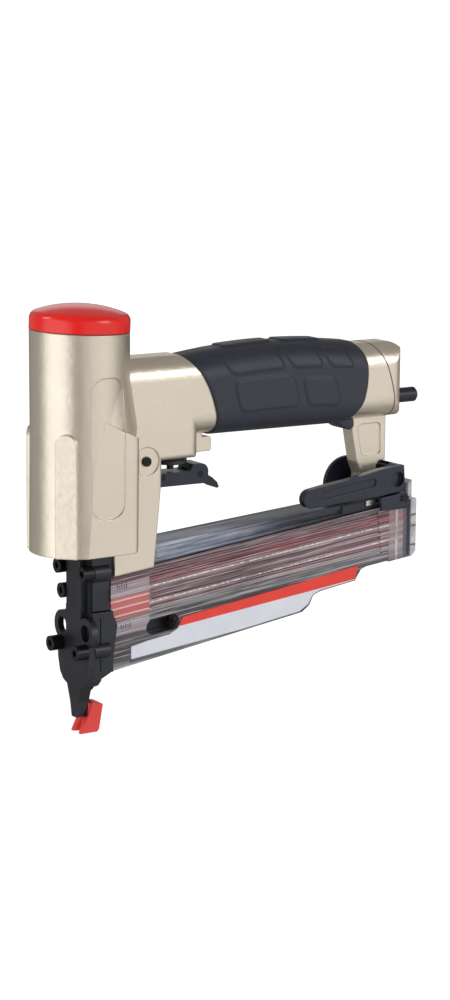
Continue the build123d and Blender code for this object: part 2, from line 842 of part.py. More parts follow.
head_valve_z = sleeve_top_z + gap
with BuildPart() as head_valve:
    with BuildSketch(Plane.XY.offset(head_valve_z)):
        Circle(head_valve_radius)
    extrude(amount=head_valve_height)
    with BuildSketch(Plane.XY.offset(head_valve_z + head_valve_height)):
        Circle(head_valve_stem_radius)
    extrude(amount=head_valve_stem_height)
keep(head_valve, "head_valve")

spring_low_z = head_valve_z + head_valve_height + gap + head_spring_wire
with BuildPart() as head_valve_spring:
    spring_height = head_spring_top_z - spring_low_z - head_spring_wire
    with BuildLine():
        coil = Helix(
            pitch=spring_height / head_spring_turns, height=spring_height,
            radius=head_spring_radius, center=(0, 0, spring_low_z),
        )
    with BuildSketch(Plane(origin=coil @ 0, z_dir=coil % 0)):
        RegularPolygon(head_spring_wire, 8)
    sweep(path=coil, is_frenet=True)
keep(head_valve_spring, "head_valve_spring")

# ---------------------------------------------------------------- nose group
taper_up = [(y, z) for y, z in nose_taper]
taper_down = [(-y, z) for y, z in reversed(nose_taper)]
with BuildPart() as nose_base:
    with BuildSketch(side()):
        with BuildLine():
            Polyline(
                (plate_back_x, barrel_floor_z), (plate_back_x, nose_end_z), *base_rear_edge,
                (magazine_front_x, base_rear_edge[-1][1]), (magazine_front_x, barrel_floor_z),
                close=True,
            )
        make_face()
    extrude(amount=nose_half_width, both=True)
    # The lower end narrows to the tip
    with BuildSketch(Plane.YZ.offset(plate_back_x)):
        with BuildLine():
            Polyline(
                *taper_up, (nose_taper[-1][0], barrel_floor_z),
                (-nose_taper[-1][0], barrel_floor_z), *taper_down, close=True,
            )
        make_face()
    extrude(amount=2 * magazine_front_x, mode=Mode.INTERSECT)
    # Flanks that reach back along both sides of the magazine's front
    for hand in (-1, 1):
        with BuildSketch(side(hand * flank_half_gap)):
            with BuildLine():
                Polyline(*flank_outline, close=True)
            make_face()
        extrude(amount=-hand * (nose_half_width - flank_half_gap))
    # Bosses round the screws that reach past the sides
    with BuildSketch(Plane.YZ.offset(plate_back_x)):
        for hand in (-1, 1):
            with Locations((hand * upper_screw[0], upper_screw[1]),
                           (hand * lower_screw[0], lower_screw[1])):
                Circle(screw_boss_radius)
    extrude(amount=screw_reach + over)
    # A recess on each side above the ears, where the side block sits
    for hand in (-1, 1):
        with BuildSketch(side(hand * nose_half_width)):
            with BuildLine():
                Polyline(
                    (plate_back_x, side_recess_z[0]), (magazine_front_x, side_recess_z[0]),
                    (magazine_front_x, side_recess_z[1]), (plate_back_x, side_recess_z[1]),
                    close=True,
                )
            make_face()
        extrude(amount=side_recess_depth, both=True, mode=Mode.SUBTRACT)
        # The line where the casting parts
        with BuildSketch(side(hand * nose_half_width)):
            with Locations((part_line_x, sum(part_line_z) / 2)):
                Rectangle(part_line_width, part_line_z[1] - part_line_z[0])
        extrude(amount=part_line_width, both=True, mode=Mode.SUBTRACT)
    # The spigot in the housing floor
    with BuildSketch(Plane.XY.offset(barrel_floor_z)):
        Circle(spigot_radius)
    extrude(amount=floor_thickness)
    # The drive channel
    with BuildSketch(Plane.XY):
        Rectangle(channel_size + 2 * fit, channel_size)
    extrude(amount=chamber_floor_z + over, mode=Mode.SUBTRACT)
    with BuildSketch(Plane.YZ.offset(plate_back_x)):
        for hand in (-1, 1):
            with Locations((hand * upper_screw[0], upper_screw[1]),
                           (hand * lower_screw[0], lower_screw[1])):
                Circle(screw_radius)
        with Locations(third_screw):
            Circle(screw_radius)
    extrude(amount=screw_reach, mode=Mode.SUBTRACT)
keep(nose_base, "nose_base")

with BuildPart() as front_plate:
    with BuildSketch(Plane.YZ.offset(nose_front_x)):
        with BuildLine():
            Polyline(
                (-plate_half_width, barrel_floor_z), (-plate_half_width, plate_shoulder_z),
                (-plate_cheek[0], plate_cheek_top_z), (-plate_cheek[0], plate_cheek[1]),
                *taper_down, *taper_up,
                plate_cheek, (plate_cheek[0], plate_cheek_top_z),
                (plate_half_width, plate_shoulder_z), (plate_half_width, barrel_floor_z),
                close=True,
            )
        make_face()
        with Locations((-ear_y, ear_z), (ear_y, ear_z)):
            Circle(ear_radius)
    extrude(amount=plate_thickness)
    with BuildSketch(Plane.YZ.offset(nose_front_x)):
        with Locations((-ear_y, ear_z), (ear_y, ear_z)):
            Circle(ear_hole_radius)
        with Locations((-lower_screw[0], lower_screw[1]), lower_screw):
            Circle(screw_radius)
    extrude(amount=plate_thickness, mode=Mode.SUBTRACT)
keep(front_plate, "front_plate")

# Each screw along X: the seat, the head's height, Y, Z and how far the shank goes in
nose_screw_rows = [
    (plate_back_x, upper_head_height, -upper_screw[0], upper_screw[1], screw_reach),
    (plate_back_x, upper_head_height, upper_screw[0], upper_screw[1], screw_reach),
    (plate_back_x, third_head_height, third_screw[0], third_screw[1], screw_reach),
    (nose_front_x, lower_head_height, -lower_screw[0], lower_screw[1],
     plate_thickness + screw_reach),
    (nose_front_x, lower_head_height, lower_screw[0], lower_screw[1],
     plate_thickness + screw_reach),
]
with BuildPart() as nose_screws:
    for seat_x, head_height, screw_y, screw_z, reach in nose_screw_rows:
        with BuildSketch(Plane.YZ.offset(seat_x - head_height)):
            with Locations((screw_y, screw_z)):
                Circle(screw_head_radius)
        extrude(amount=head_height)
        with BuildSketch(Plane.YZ.offset(seat_x)):
            with Locations((screw_y, screw_z)):
                Circle(screw_radius)
        extrude(amount=reach)
        with BuildSketch(Plane.YZ.offset(seat_x - head_height)):
            with Locations((screw_y, screw_z)):
                RegularPolygon(screw_hex, 6)
        extrude(amount=screw_hex_depth, mode=Mode.SUBTRACT)
keep(nose_screws, "nose_screws")

with BuildPart() as side_block:
    with BuildSketch(side(side_recess_depth - nose_half_width)):
        with BuildLine():
            notch = ThreePointArc(
                (side_block_x[1], side_block_notch[1] + 3.0), side_block_notch,
                (side_block_x[1], side_block_notch[1] - 3.0),
            )
            Polyline(
                notch @ 1, (side_block_x[1], side_block_z[0]), (side_block_x[0], side_block_z[0]),
                (side_block_x[0], side_block_z[1]), (side_block_x[1], side_block_z[1]), notch @ 0,
            )
        make_face()
    extrude(amount=side_block_thickness)
keep(side_block, "side_block")

with BuildPart() as no_mar_tip:
    with BuildSketch(side()):
        with BuildLine():
            Polyline(*tip_outline, close=True)
        make_face()
    extrude(amount=tip_half_width, both=True)
    # The block between its cheeks that bears on the back of the nose
    with BuildSketch(side()):
        with BuildLine():
            Polyline(*tip_block_outline, close=True)
        make_face()
    extrude(amount=nose_taper[1][0], both=True)
    # The pocket that the end of the nose sits in
    with BuildSketch(Plane.XY.offset(nose_end_z)):
        with Locations((nose_rear_x - nose_half_width / 2, 0)):
            Rectangle(nose_half_width, 2 * nose_taper[1][0] + 4 * fit)
    extrude(amount=nose_half_width, mode=Mode.SUBTRACT)
    # A vee channel, open to the front, round the pin's exit
    with BuildSketch(Plane.XY):
        with BuildLine():
            Polyline(
                (tip_channel[0][0], -tip_channel[0][1]), (tip_channel[1][0], -tip_channel[1][1]),
                tip_channel[1], tip_channel[0], close=True,
            )
        make_face()
    extrude(amount=nose_half_width, mode=Mode.SUBTRACT)
keep(no_mar_tip, "no_mar_tip")

# ---------------------------------------------------------------- trigger group
with BuildPart() as trigger:
    with BuildSketch(side()):
        with BuildLine():
            heel = ThreePointArc(
                *[(trigger_rear_x + x, trigger_heel_z + z) for x, z in trigger_heel_arc]
            )
            Polyline(
                heel @ 1, (trigger_rear_x, trigger_bottom_z),
                (leg_knee_x - gap, trigger_bottom_z + gap),
                (trigger_pivot[0] + trigger_front_step[0], trigger_pivot[1] + trigger_front_step[1]),
                (trigger_pivot[0] - trigger_eye_radius + gap, trigger_pivot[1] - over),
                (trigger_pivot[0] + trigger_eye_radius - gap, trigger_pivot[1] + over),
                (trigger_crook_x, trigger_top_z),
                (trigger_heel_x[0], trigger_top_z),
                (trigger_heel_x[1], trigger_heel_z), heel @ 0,
            )
        make_face()
        with Locations(trigger_pivot):
            Circle(trigger_eye_radius)
    extrude(amount=trigger_half_width, both=True)
    with BuildSketch(side()):
        with Locations(trigger_pivot):
            Circle(trigger_pin_radius + fit)
        with Locations(safety_pivot, (stop_pin_x, safety_pivot[1])):
            Circle(safety_pin_radius)
    extrude(amount=trigger_half_width, both=True, mode=Mode.SUBTRACT)
    # The channel that the safety lever lies in, open below and behind
    with BuildSketch(side()):
        with BuildLine():
            Polyline(
                (lever_channel_x, trigger_bottom_z - over),
                (lever_channel_x, trigger_top_z - lever_channel_roof),
                (valve_x, trigger_top_z - lever_channel_roof),
                (trigger_rear_x + over, trigger_heel_z - lever_channel_heel),
                (trigger_rear_x + over, trigger_bottom_z - over), close=True,
            )
        make_face()
    extrude(amount=safety_half_width + gap, both=True, mode=Mode.SUBTRACT)
keep(trigger, "trigger")

with BuildPart() as trigger_pin:
    with BuildSketch(side()):
        with Locations(trigger_pivot):
            Circle(trigger_pin_radius)
    extrude(amount=leg_half_width + trigger_pin_stand, both=True)
keep(trigger_pin, "trigger_pin")

with BuildPart() as safety_pin:
    with BuildSketch(side()):
        with Locations(safety_pivot):
            Circle(safety_pin_radius)
    extrude(amount=trigger_half_width, both=True)
keep(safety_pin, "safety_pin")

with BuildPart() as stop_pin:
    with BuildSketch(side()):
        with Locations((stop_pin_x, safety_pivot[1])):
            Circle(safety_pin_radius)
    extrude(amount=trigger_half_width, both=True)
keep(stop_pin, "stop_pin")

with BuildPart() as safety_lever:
    with BuildSketch(side()):
        with BuildLine():
            Polyline(
                *[(safety_pivot[0] + x, safety_pivot[1] + z) for x, z in safety_outline], close=True
            )
        make_face()
        with Locations(safety_pivot):
            Circle(safety_boss_radius)
    extrude(amount=safety_half_width, both=True)
    with BuildSketch(side()):
        with Locations(safety_pivot):
            Circle(safety_pin_radius + fit)
    extrude(amount=safety_half_width, both=True, mode=Mode.SUBTRACT)
keep(safety_lever, "safety_lever")

with BuildPart() as trigger_valve:
    with BuildSketch(Plane.XY.offset(boss_low_z)):
        with Locations((valve_x, 0)):
            Circle(valve_radius)
    extrude(amount=valve_depth)
    with BuildSketch(Plane.XY.offset(valve_flange_z[1])):
        with Locations((valve_x, 0)):
            Circle(valve_neck_radius)
    extrude(amount=boss_low_z - valve_flange_z[1])
    with BuildSketch(Plane.XY.offset(valve_flange_z[0])):
        with Locations((valve_x, 0)):
            Circle(valve_flange_radius)
    extrude(amount=valve_flange_z[1] - valve_flange_z[0])
    with BuildSketch(Plane.XY.offset(valve_flange_z[0])):
        with Locations((valve_x, 0)):
            Circle(stem_radius + fit)
    extrude(amount=2 * valve_depth, mode=Mode.SUBTRACT)
    with BuildSketch(Plane.XY.offset(boss_low_z + valve_floor)):
        with Locations((valve_x, 0)):
            Circle(stem_collar_radius + 4 * gap)
    extrude(amount=2 * valve_depth, mode=Mode.SUBTRACT)
keep(trigger_valve, "trigger_valve")

stem_low_z = trigger_top_z + 3 * gap
collar_z = boss_low_z + valve_floor + gap
with BuildPart() as valve_stem:
    with BuildSketch(Plane.XY.offset(stem_low_z)):
        with Locations((valve_x, 0)):
            Circle(stem_radius)
    extrude(amount=collar_z - stem_low_z)
    with BuildSketch(Plane.XY.offset(collar_z)):
        with Locations((valve_x, 0)):
            Circle(stem_collar_radius)
    extrude(amount=stem_collar_height)
keep(valve_stem, "valve_stem")

with BuildPart() as valve_spring:
    valve_spring_z = collar_z + stem_collar_height + gap + valve_spring_wire
    valve_spring_height = boss_low_z + valve_depth - over - valve_spring_z
    with BuildLine():
        valve_coil = Helix(
            pitch=valve_spring_height / 3, height=valve_spring_height, radius=valve_spring_radius,
            center=(valve_x, 0, valve_spring_z),
        )
    with BuildSketch(Plane(origin=valve_coil @ 0, z_dir=valve_coil % 0)):
        RegularPolygon(valve_spring_wire, 6)
    sweep(path=valve_coil, is_frenet=True)
keep(valve_spring, "valve_spring")

# ---------------------------------------------------------------- handle group
with BuildPart() as grip_sleeve:
    # A crowned bar with large round edges, cut off by the curved ends
    with BuildSketch(side()):
        with BuildLine():
            crown = ThreePointArc(*grip_crown)
            Polyline(crown @ 1, grip_low_edge[1], grip_low_edge[0], crown @ 0)
        make_face()
    extrude(amount=grip_width / 2, both=True)
    bar_sides = grip_sleeve.faces().filter_by(Plane.XZ)
    bar_ends = grip_sleeve.faces().filter_by(Plane.YZ)
    fillet(bar_sides.edges() - bar_ends.edges(), radius=grip_corner)
    with BuildSketch(side()):
        with BuildLine():
            sleeve_front = ThreePointArc(*grip_front_edge)
            sleeve_rear = ThreePointArc(*grip_rear_edge)
            Polyline(sleeve_front @ 1, (grip_front_edge[2][0], grip_rear_edge[2][1]), sleeve_rear @ 1)
            Polyline(sleeve_rear @ 0, (grip_rear_edge[0][0], grip_front_edge[0][1]), sleeve_front @ 0)
        make_face()
    extrude(amount=grip_width, both=True, mode=Mode.INTERSECT)
    # The lip that turns down in front of the strut
    with BuildSketch(side()):
        with BuildLine():
            Polyline(*grip_lip_outline, close=True)
        make_face()
    extrude(amount=grip_lip_half_width, both=True)
    add(core_form.part, mode=Mode.SUBTRACT)
keep(grip_sleeve, "grip_sleeve")

with BuildPart() as end_cap:
    add(tail_form.part)
    add(seam_form.part, mode=Mode.INTERSECT)
    with BuildSketch(Plane.YZ.offset(tool_rear_x + over)):
        with Locations((0, inlet_z)):
            Circle(inlet_thread_radius)
    extrude(amount=-2 * inlet_thread_length, mode=Mode.SUBTRACT)
keep(end_cap, "end_cap")

plug_front_x = tool_rear_x - 4 * gap
plug_end_x = tool_rear_x + inlet_reach
with BuildPart() as air_plug:
    with BuildSketch(side()):
        with BuildLine():
            Polyline(
                (plug_front_x, inlet_z + inlet_bore_radius),
                (plug_front_x, inlet_z + inlet_thread_radius),
                (tool_rear_x, inlet_z + inlet_thread_radius),
                (tool_rear_x, inlet_z + inlet_flange_radius),
                (tool_rear_x + inlet_flange_thickness, inlet_z + inlet_flange_radius),
                (tool_rear_x + inlet_flange_thickness, inlet_z + inlet_radius),
                (plug_end_x - inlet_chamfer, inlet_z + inlet_radius),
                (plug_end_x, inlet_z + inlet_radius - inlet_chamfer),
                (plug_end_x, inlet_z + inlet_bore_radius),
                close=True,
            )
        make_face()
    revolve(axis=Axis((0, 0, inlet_z), (1, 0, 0)))
keep(air_plug, "air_plug")

# ---------------------------------------------------------------- magazine group
with BuildPart() as magazine_base:
    with BuildSketch(side(base_far_y)):
        with BuildLine():
            Polyline(
                above_feed(magazine_front_x, magazine_top),
                above_feed(magazine_front_x, over - cover_front_depth),
                *lower_edge(over),
                above_feed(magazine_rear_x, over - cover_tail_depth),
                above_feed(magazine_rear_x, magazine_top),
                close=True,
            )
        make_face()
    extrude(amount=base_far_y - split_y)
    # Long grooves on the far face
    with BuildSketch(side(base_far_y)):
        for row in range(3):
            low = base_groove_low + base_groove_pitch * row
            with BuildLine():
                Polyline(
                    above_feed(rib_start_x, low), above_feed(rib_end_x, low),
                    above_feed(rib_end_x, low + base_groove_width),
                    above_feed(rib_start_x, low + base_groove_width), close=True,
                )
            make_face()
    extrude(amount=base_groove_depth, mode=Mode.SUBTRACT)
keep(magazine_base, "magazine_base")

with BuildPart() as magazine_rail:
    rail_corner_x = leg_foot_x
    for _ in range(8):
        rail_corner_x = leg_rear_x(above_feed(rail_corner_x, rail_top(rail_corner_x))[1])
    with BuildSketch(side()):
        with BuildLine():
            Polyline(
                above_feed(leg_foot_x, magazine_top),
                above_feed(rail_corner_x, rail_top(rail_corner_x)),
                above_feed(rail_rear_x, rail_top(rail_rear_x)),
                above_feed(rail_rear_x, magazine_top),
                close=True,
            )
        make_face()
    extrude(amount=rail_half_width, both=True)
    # A flute along each side
    for hand in (-1, 1):
        with BuildSketch(side(hand * rail_half_width)):
            with BuildLine():
                Polyline(
                    above_feed(leg_knee_x, magazine_top + rail_flute_edge),
                    above_feed(rail_flute_end_x, magazine_top + rail_flute_edge),
                    above_feed(rail_flute_end_x, rail_top(rail_flute_end_x) - rail_flute_edge),
                    above_feed(leg_knee_x, rail_top(leg_knee_x) - rail_flute_edge),
                    close=True,
                )
            make_face()
        extrude(amount=rail_flute_depth, both=True, mode=Mode.SUBTRACT)
keep(magazine_rail, "magazine_rail")

with BuildPart() as rail_block:
    with BuildSketch(side(-rail_half_width)):
        with BuildLine():
            Polyline(
                above_feed(rail_block_x[0], magazine_top + over),
                above_feed(rail_block_x[1], magazine_top + over),
                above_feed(rail_block_x[1], rail_top(rail_block_x[1]) - gap),
                above_feed(rail_block_x[0], rail_top(rail_block_x[0]) - gap),
                close=True,
            )
        make_face()
    extrude(amount=rail_flute_depth)
keep(rail_block, "rail_block")

with BuildPart() as catch_block:
    with BuildSketch(side(-rail_half_width)):
        with BuildLine():
            Polyline(
                above_feed(catch_block_x[0], magazine_top + catch_block_heights[0]),
                above_feed(catch_block_x[1], magazine_top + catch_block_heights[0]),
                above_feed(catch_block_x[1], rail_top(catch_block_x[1]) - catch_block_heights[1]),
                above_feed(catch_block_x[0], rail_top(catch_block_x[0]) - catch_block_heights[1]),
                close=True,
            )
        make_face()
    extrude(amount=rail_flute_depth)
keep(catch_block, "catch_block")

cover_top = magazine_top - gap
cover_back_y = split_y - gap
with BuildPart() as magazine_cover:
    with BuildSketch(side(cover_back_y)):
        with BuildLine():
            Polyline(
                above_feed(magazine_front_x + gap, cover_top),
                above_feed(magazine_front_x + gap, -cover_front_depth),
                *lower_edge(0),
                above_feed(magazine_rear_x, -cover_tail_depth),
                above_feed(magazine_rear_x, cover_top),
                close=True,
            )
        make_face()
    extrude(amount=cover_back_y - cover_near_y)
    # The pocket for the pusher and the inner rail, open at the front
    with BuildSketch(side(cover_back_y)):
        with BuildLine():
            Polyline(
                above_feed(magazine_front_x, cover_top - cover_pocket_roof),
                above_feed(magazine_front_x, cover_pocket_low),
                above_feed(rib_end_x - cover_wall, cover_pocket_low + cover_pocket_roof),
                above_feed(rib_end_x - cover_wall, cover_top - cover_pocket_roof),
                close=True,
            )
        make_face()
    extrude(amount=cover_back_y - cover_near_y - cover_wall, mode=Mode.SUBTRACT)
    # Round grooves along the near face leave rounded ribs between them
    rib_start = above_feed(rib_start_x, 0)
    along_feed = Plane(
        origin=(rib_start[0], 0, rib_start[1]), x_dir=(0, 1, 0),
        z_dir=(rise, 0, rise * slope),
    )
    with BuildSketch(along_feed):
        for row in range(rib_count):
            with Locations((cover_near_y - rib_groove_out,
                            cover_top - cover_pocket_roof - row * rib_pitch)):
                Circle(rib_groove_radius)
    extrude(amount=(rib_end_x - rib_start_x) / rise, mode=Mode.SUBTRACT)
    # The round-ended slot near the front goes right through
    with BuildSketch(side(cover_back_y)):
        with Locations(above_feed(slot_x, slot_height)):
            SlotOverall(slot_length, slot_width, rotation=feed_angle)
    extrude(amount=cover_back_y - cover_near_y, mode=Mode.SUBTRACT)
keep(magazine_cover, "magazine_cover")

rail_near_y = cover_near_y + cover_wall + inner_rail_gap
with BuildPart() as inner_rail:
    with BuildSketch(side(rail_near_y)):
        with BuildLine():
            Polyline(
                above_feed(magazine_front_x + inner_rail_front, cover_top - cover_pocket_roof - gap),
                above_feed(magazine_front_x + inner_rail_front, inner_rail_low),
                above_feed(rib_end_x - cover_wall - gap, inner_rail_low),
                above_feed(rib_end_x - cover_wall - gap, cover_top - cover_pocket_roof - gap),
                close=True,
            )
        make_face()
    extrude(amount=-inner_rail_thickness)
keep(inner_rail, "inner_rail")

pusher_near_y = rail_near_y + inner_rail_thickness + gap
pusher_x = (magazine_front_x + pusher_start, magazine_front_x + pusher_start + pusher_length)
with BuildPart() as pusher:
    with BuildSketch(side(cover_back_y)):
        with BuildLine():
            Polyline(
                above_feed(pusher_x[0], pusher_high), above_feed(pusher_x[0], pusher_low),
                above_feed(pusher_x[1], pusher_low), above_feed(pusher_x[1], pusher_high),
                close=True,
            )
        make_face()
    extrude(amount=cover_back_y - pusher_near_y)
keep(pusher, "pusher")

with BuildPart() as label_plate:
    with BuildSketch(side(cover_near_y)):
        with BuildLine():
            Polyline(*[above_feed(x, height) for x, height in label_outline], close=True)
        make_face()
    extrude(amount=label_thickness)
keep(label_plate, "label_plate")

end_cap_rear_x = magazine_rear_x + end_cap_length
with BuildPart() as magazine_end_cap:
    with BuildSketch(side(base_far_y)):
        with BuildLine():
            Polyline(
                above_feed(magazine_rear_x + gap, magazine_top),
                above_feed(magazine_rear_x + gap, end_cap_low),
                above_feed(end_cap_rear_x - end_cap_corner[0], end_cap_low),
                above_feed(end_cap_rear_x, end_cap_low + end_cap_corner[1]),
                above_feed(end_cap_rear_x, magazine_top), close=True,
            )
        make_face()
    extrude(amount=base_far_y - cover_near_y)
    # A groove down each side in front of the end plate
    for face_y in (cover_near_y, base_far_y):
        with BuildSketch(side(face_y)):
            with BuildLine():
                Polyline(
                    above_feed(magazine_rear_x + end_cap_groove[0], magazine_top + over),
                    above_feed(magazine_rear_x + end_cap_groove[0], end_cap_low + over),
                    above_feed(magazine_rear_x + end_cap_groove[1], end_cap_low + over),
                    above_feed(magazine_rear_x + end_cap_groove[1], magazine_top + over),
                    close=True,
                )
            make_face()
        extrude(amount=end_cap_groove_depth, both=True, mode=Mode.SUBTRACT)
    # A stub that joins it to the sliding cover
    with BuildSketch(side(cover_back_y)):
        with BuildLine():
            Polyline(
                above_feed(magazine_rear_x, cover_top),
                above_feed(magazine_rear_x, -cover_tail_depth),
                above_feed(magazine_rear_x + 2 * over, -cover_tail_depth),
                above_feed(magazine_rear_x + 2 * over, cover_top),
                close=True,
            )
        make_face()
    extrude(amount=cover_back_y - cover_near_y)
    # The upstand behind the latch
    stand_x = (end_cap_rear_x - over - end_cap_stand_length, end_cap_rear_x - over)
    with BuildSketch(side()):
        with BuildLine():
            Polyline(
                above_feed(stand_x[0], magazine_top - over),
                above_feed(stand_x[1], magazine_top - over),
                above_feed(stand_x[1], magazine_top + end_cap_stand_height),
                above_feed(stand_x[0], magazine_top + end_cap_stand_height - 2 * over),
                close=True,
            )
        make_face()
    extrude(amount=end_cap_stand_half_width, both=True)
keep(magazine_end_cap, "magazine_end_cap")

cheek_y = latch_inner_y + latch_wing - cheek_thickness
pivot = above_feed(latch_pivot_x, latch_pivot_height)
bracket_front_x = rail_rear_x + 2 * gap
bracket_rear_x = latch_pivot_x - latch_hub_radius - gap
with BuildPart() as hinge_bracket:
    with BuildSketch(side()):
        with BuildLine():
            Polyline(
                above_feed(bracket_front_x, magazine_top + gap),
                above_feed(magazine_rear_x + gap, magazine_top + gap),
                above_feed(magazine_rear_x + gap, magazine_top),
                above_feed(bracket_rear_x, magazine_top),
                above_feed(bracket_rear_x, magazine_top + over + gap),
                above_feed(bracket_front_x, magazine_top + over + gap),
                close=True,
            )
        make_face()
    extrude(amount=cheek_y + cheek_thickness, both=True)
    for low_y in (-cheek_y, cheek_y + cheek_thickness):
        with BuildSketch(side(low_y)):
            with BuildLine():
                Polyline(*cheek_outline, close=True)
            make_face()
        extrude(amount=cheek_thickness)
    for hand in (-1, 1):
        with BuildSketch(side(hand * (cheek_y + cheek_thickness))):
            with Locations(pivot):
                Circle(cheek_ring_radius)
        extrude(amount=cheek_ring_depth, both=True, mode=Mode.SUBTRACT)
    with BuildSketch(side()):
        with Locations(pivot):
            Circle(latch_pin_radius)
    extrude(amount=cheek_y + cheek_thickness, both=True, mode=Mode.SUBTRACT)
keep(hinge_bracket, "hinge_bracket")

with BuildPart() as latch_pin:
    with BuildSketch(side()):
        with Locations(pivot):
            Circle(latch_pin_radius)
    extrude(amount=cheek_y + cheek_thickness, both=True)
    chamfer(latch_pin.edges().filter_by(GeomType.CIRCLE), length=latch_pin_chamfer)
keep(latch_pin, "latch_pin")

with BuildPart() as latch_lever:
    # The near wing, a long finger lever with a round front end
    with BuildSketch(side(-latch_inner_y)):
        with BuildLine():
            Polyline(
                (latch_nose[0], latch_nose[1] - latch_nose_radius), *latch_lower_edge,
                *latch_rear_edge, *latch_upper_edge,
                (latch_nose[0] - 0.6, latch_nose[1] + latch_nose_radius), close=True,
            )
        make_face()
        with Locations(latch_nose):
            Circle(latch_nose_radius)
    extrude(amount=latch_wing)
    with BuildSketch(side(-latch_inner_y - latch_wing)):
        with Locations(latch_scoop_centre):
            SlotOverall(*latch_scoop_size, rotation=latch_scoop_angle)
    extrude(amount=-latch_scoop_depth, mode=Mode.SUBTRACT)
    with BuildSketch(side(-latch_inner_y - latch_wing)):
        with Locations(latch_dish_centre):
            Circle(latch_dish_radius)
    extrude(amount=-latch_dish_depth, mode=Mode.SUBTRACT)
    # The far wing, a thin round thumb pad
    with BuildSketch(side(latch_inner_y + latch_pad_thickness)):
        with BuildLine():
            Polyline(*latch_lower_edge[1:], *latch_rear_edge, latch_upper_edge[0], close=True)
        make_face()
        with Locations(latch_pad_centre):
            Circle(latch_pad_radius)
        with BuildLine():
            Polyline(
                above_feed(latch_nose[0], latch_pad_low), above_feed(end_cap_rear_x, latch_pad_low),
                (end_cap_rear_x, magazine_top), (latch_nose[0], magazine_top), close=True,
            )
        make_face(mode=Mode.SUBTRACT)
    extrude(amount=latch_pad_thickness)
    # The bridge behind the strut, hollow from above, and the hub that turns on the pin
    with BuildSketch(side()):
        with BuildLine():
            Polyline(*bridge_outline, close=True)
        make_face()
    extrude(amount=latch_inner_y, both=True)
    with BuildSketch(side()):
        with BuildLine():
            Polyline(
                (bridge_hollow_x[0], bridge_hollow_z), (bridge_hollow_x[1], bridge_hollow_z),
                (bridge_hollow_x[1], strut_shelf_z), (bridge_hollow_x[0], strut_shelf_z), close=True,
            )
        make_face()
    extrude(amount=bridge_hollow_half_width, both=True, mode=Mode.SUBTRACT)
    with BuildSketch(side()):
        with BuildLine():
            Polyline(
                (pivot[0] - latch_hub_radius, pivot[1]), (pivot[0] + latch_hub_radius, pivot[1]),
                (bridge_outline[1][0], bridge_outline[1][1] + over),
                (bridge_outline[0][0] + 2 * over, bridge_outline[0][1] + over), close=True,
            )
        make_face()
        with Locations(pivot):
            Circle(latch_hub_radius)
    extrude(amount=latch_inner_y, both=True)
    with BuildSketch(side()):
        with Locations(pivot):
            Circle(latch_pin_radius + fit)
    extrude(amount=latch_inner_y, both=True, mode=Mode.SUBTRACT)
keep(latch_lever, "latch_lever")

with BuildPart() as leg_screw:
    with BuildSketch(Plane.YZ.offset(leg_rear_x(leg_screw_z) - 2 * fit)):
        with Locations((leg_screw_y, leg_screw_z)):
            RegularPolygon(leg_screw_size, 6)
    extrude(amount=over + 2 * gap)
keep(leg_screw, "leg_screw")
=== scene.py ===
import json
import math

import bmesh
import bpy
from mathutils import Matrix, Vector


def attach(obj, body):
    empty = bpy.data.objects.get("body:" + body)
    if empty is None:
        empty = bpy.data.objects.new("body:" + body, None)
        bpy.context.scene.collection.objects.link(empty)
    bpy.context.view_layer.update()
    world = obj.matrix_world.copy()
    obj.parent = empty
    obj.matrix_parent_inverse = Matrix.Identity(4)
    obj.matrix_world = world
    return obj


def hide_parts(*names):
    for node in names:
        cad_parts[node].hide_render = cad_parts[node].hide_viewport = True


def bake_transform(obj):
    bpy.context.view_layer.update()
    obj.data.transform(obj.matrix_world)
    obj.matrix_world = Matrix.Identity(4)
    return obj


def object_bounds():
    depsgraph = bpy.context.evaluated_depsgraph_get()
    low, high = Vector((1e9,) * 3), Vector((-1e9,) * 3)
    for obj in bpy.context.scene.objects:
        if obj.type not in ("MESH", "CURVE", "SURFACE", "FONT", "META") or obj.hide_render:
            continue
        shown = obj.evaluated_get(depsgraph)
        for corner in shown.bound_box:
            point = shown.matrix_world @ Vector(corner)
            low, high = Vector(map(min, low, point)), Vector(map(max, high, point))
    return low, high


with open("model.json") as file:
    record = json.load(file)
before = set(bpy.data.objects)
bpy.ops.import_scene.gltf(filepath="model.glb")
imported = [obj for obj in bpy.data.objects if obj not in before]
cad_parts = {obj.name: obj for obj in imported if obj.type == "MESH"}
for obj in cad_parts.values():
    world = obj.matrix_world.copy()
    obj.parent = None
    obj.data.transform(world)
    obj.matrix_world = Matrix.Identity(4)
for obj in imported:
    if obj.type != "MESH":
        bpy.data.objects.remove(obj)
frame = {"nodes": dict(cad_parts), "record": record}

cad_low, cad_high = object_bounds()
nodes = frame["nodes"]

MM = 0.001
FEED_ANGLE = math.radians(6.0)
FEED_Z = 50.0 * MM


def tone(red, green, blue):
    """A colour given as it looks on a screen, 0 to 255, as a linear colour."""
    return tuple(
        v / 12.92 if v <= 0.04045 else ((v + 0.055) / 1.055) ** 2.4
        for v in (red / 255, green / 255, blue / 255)
    )


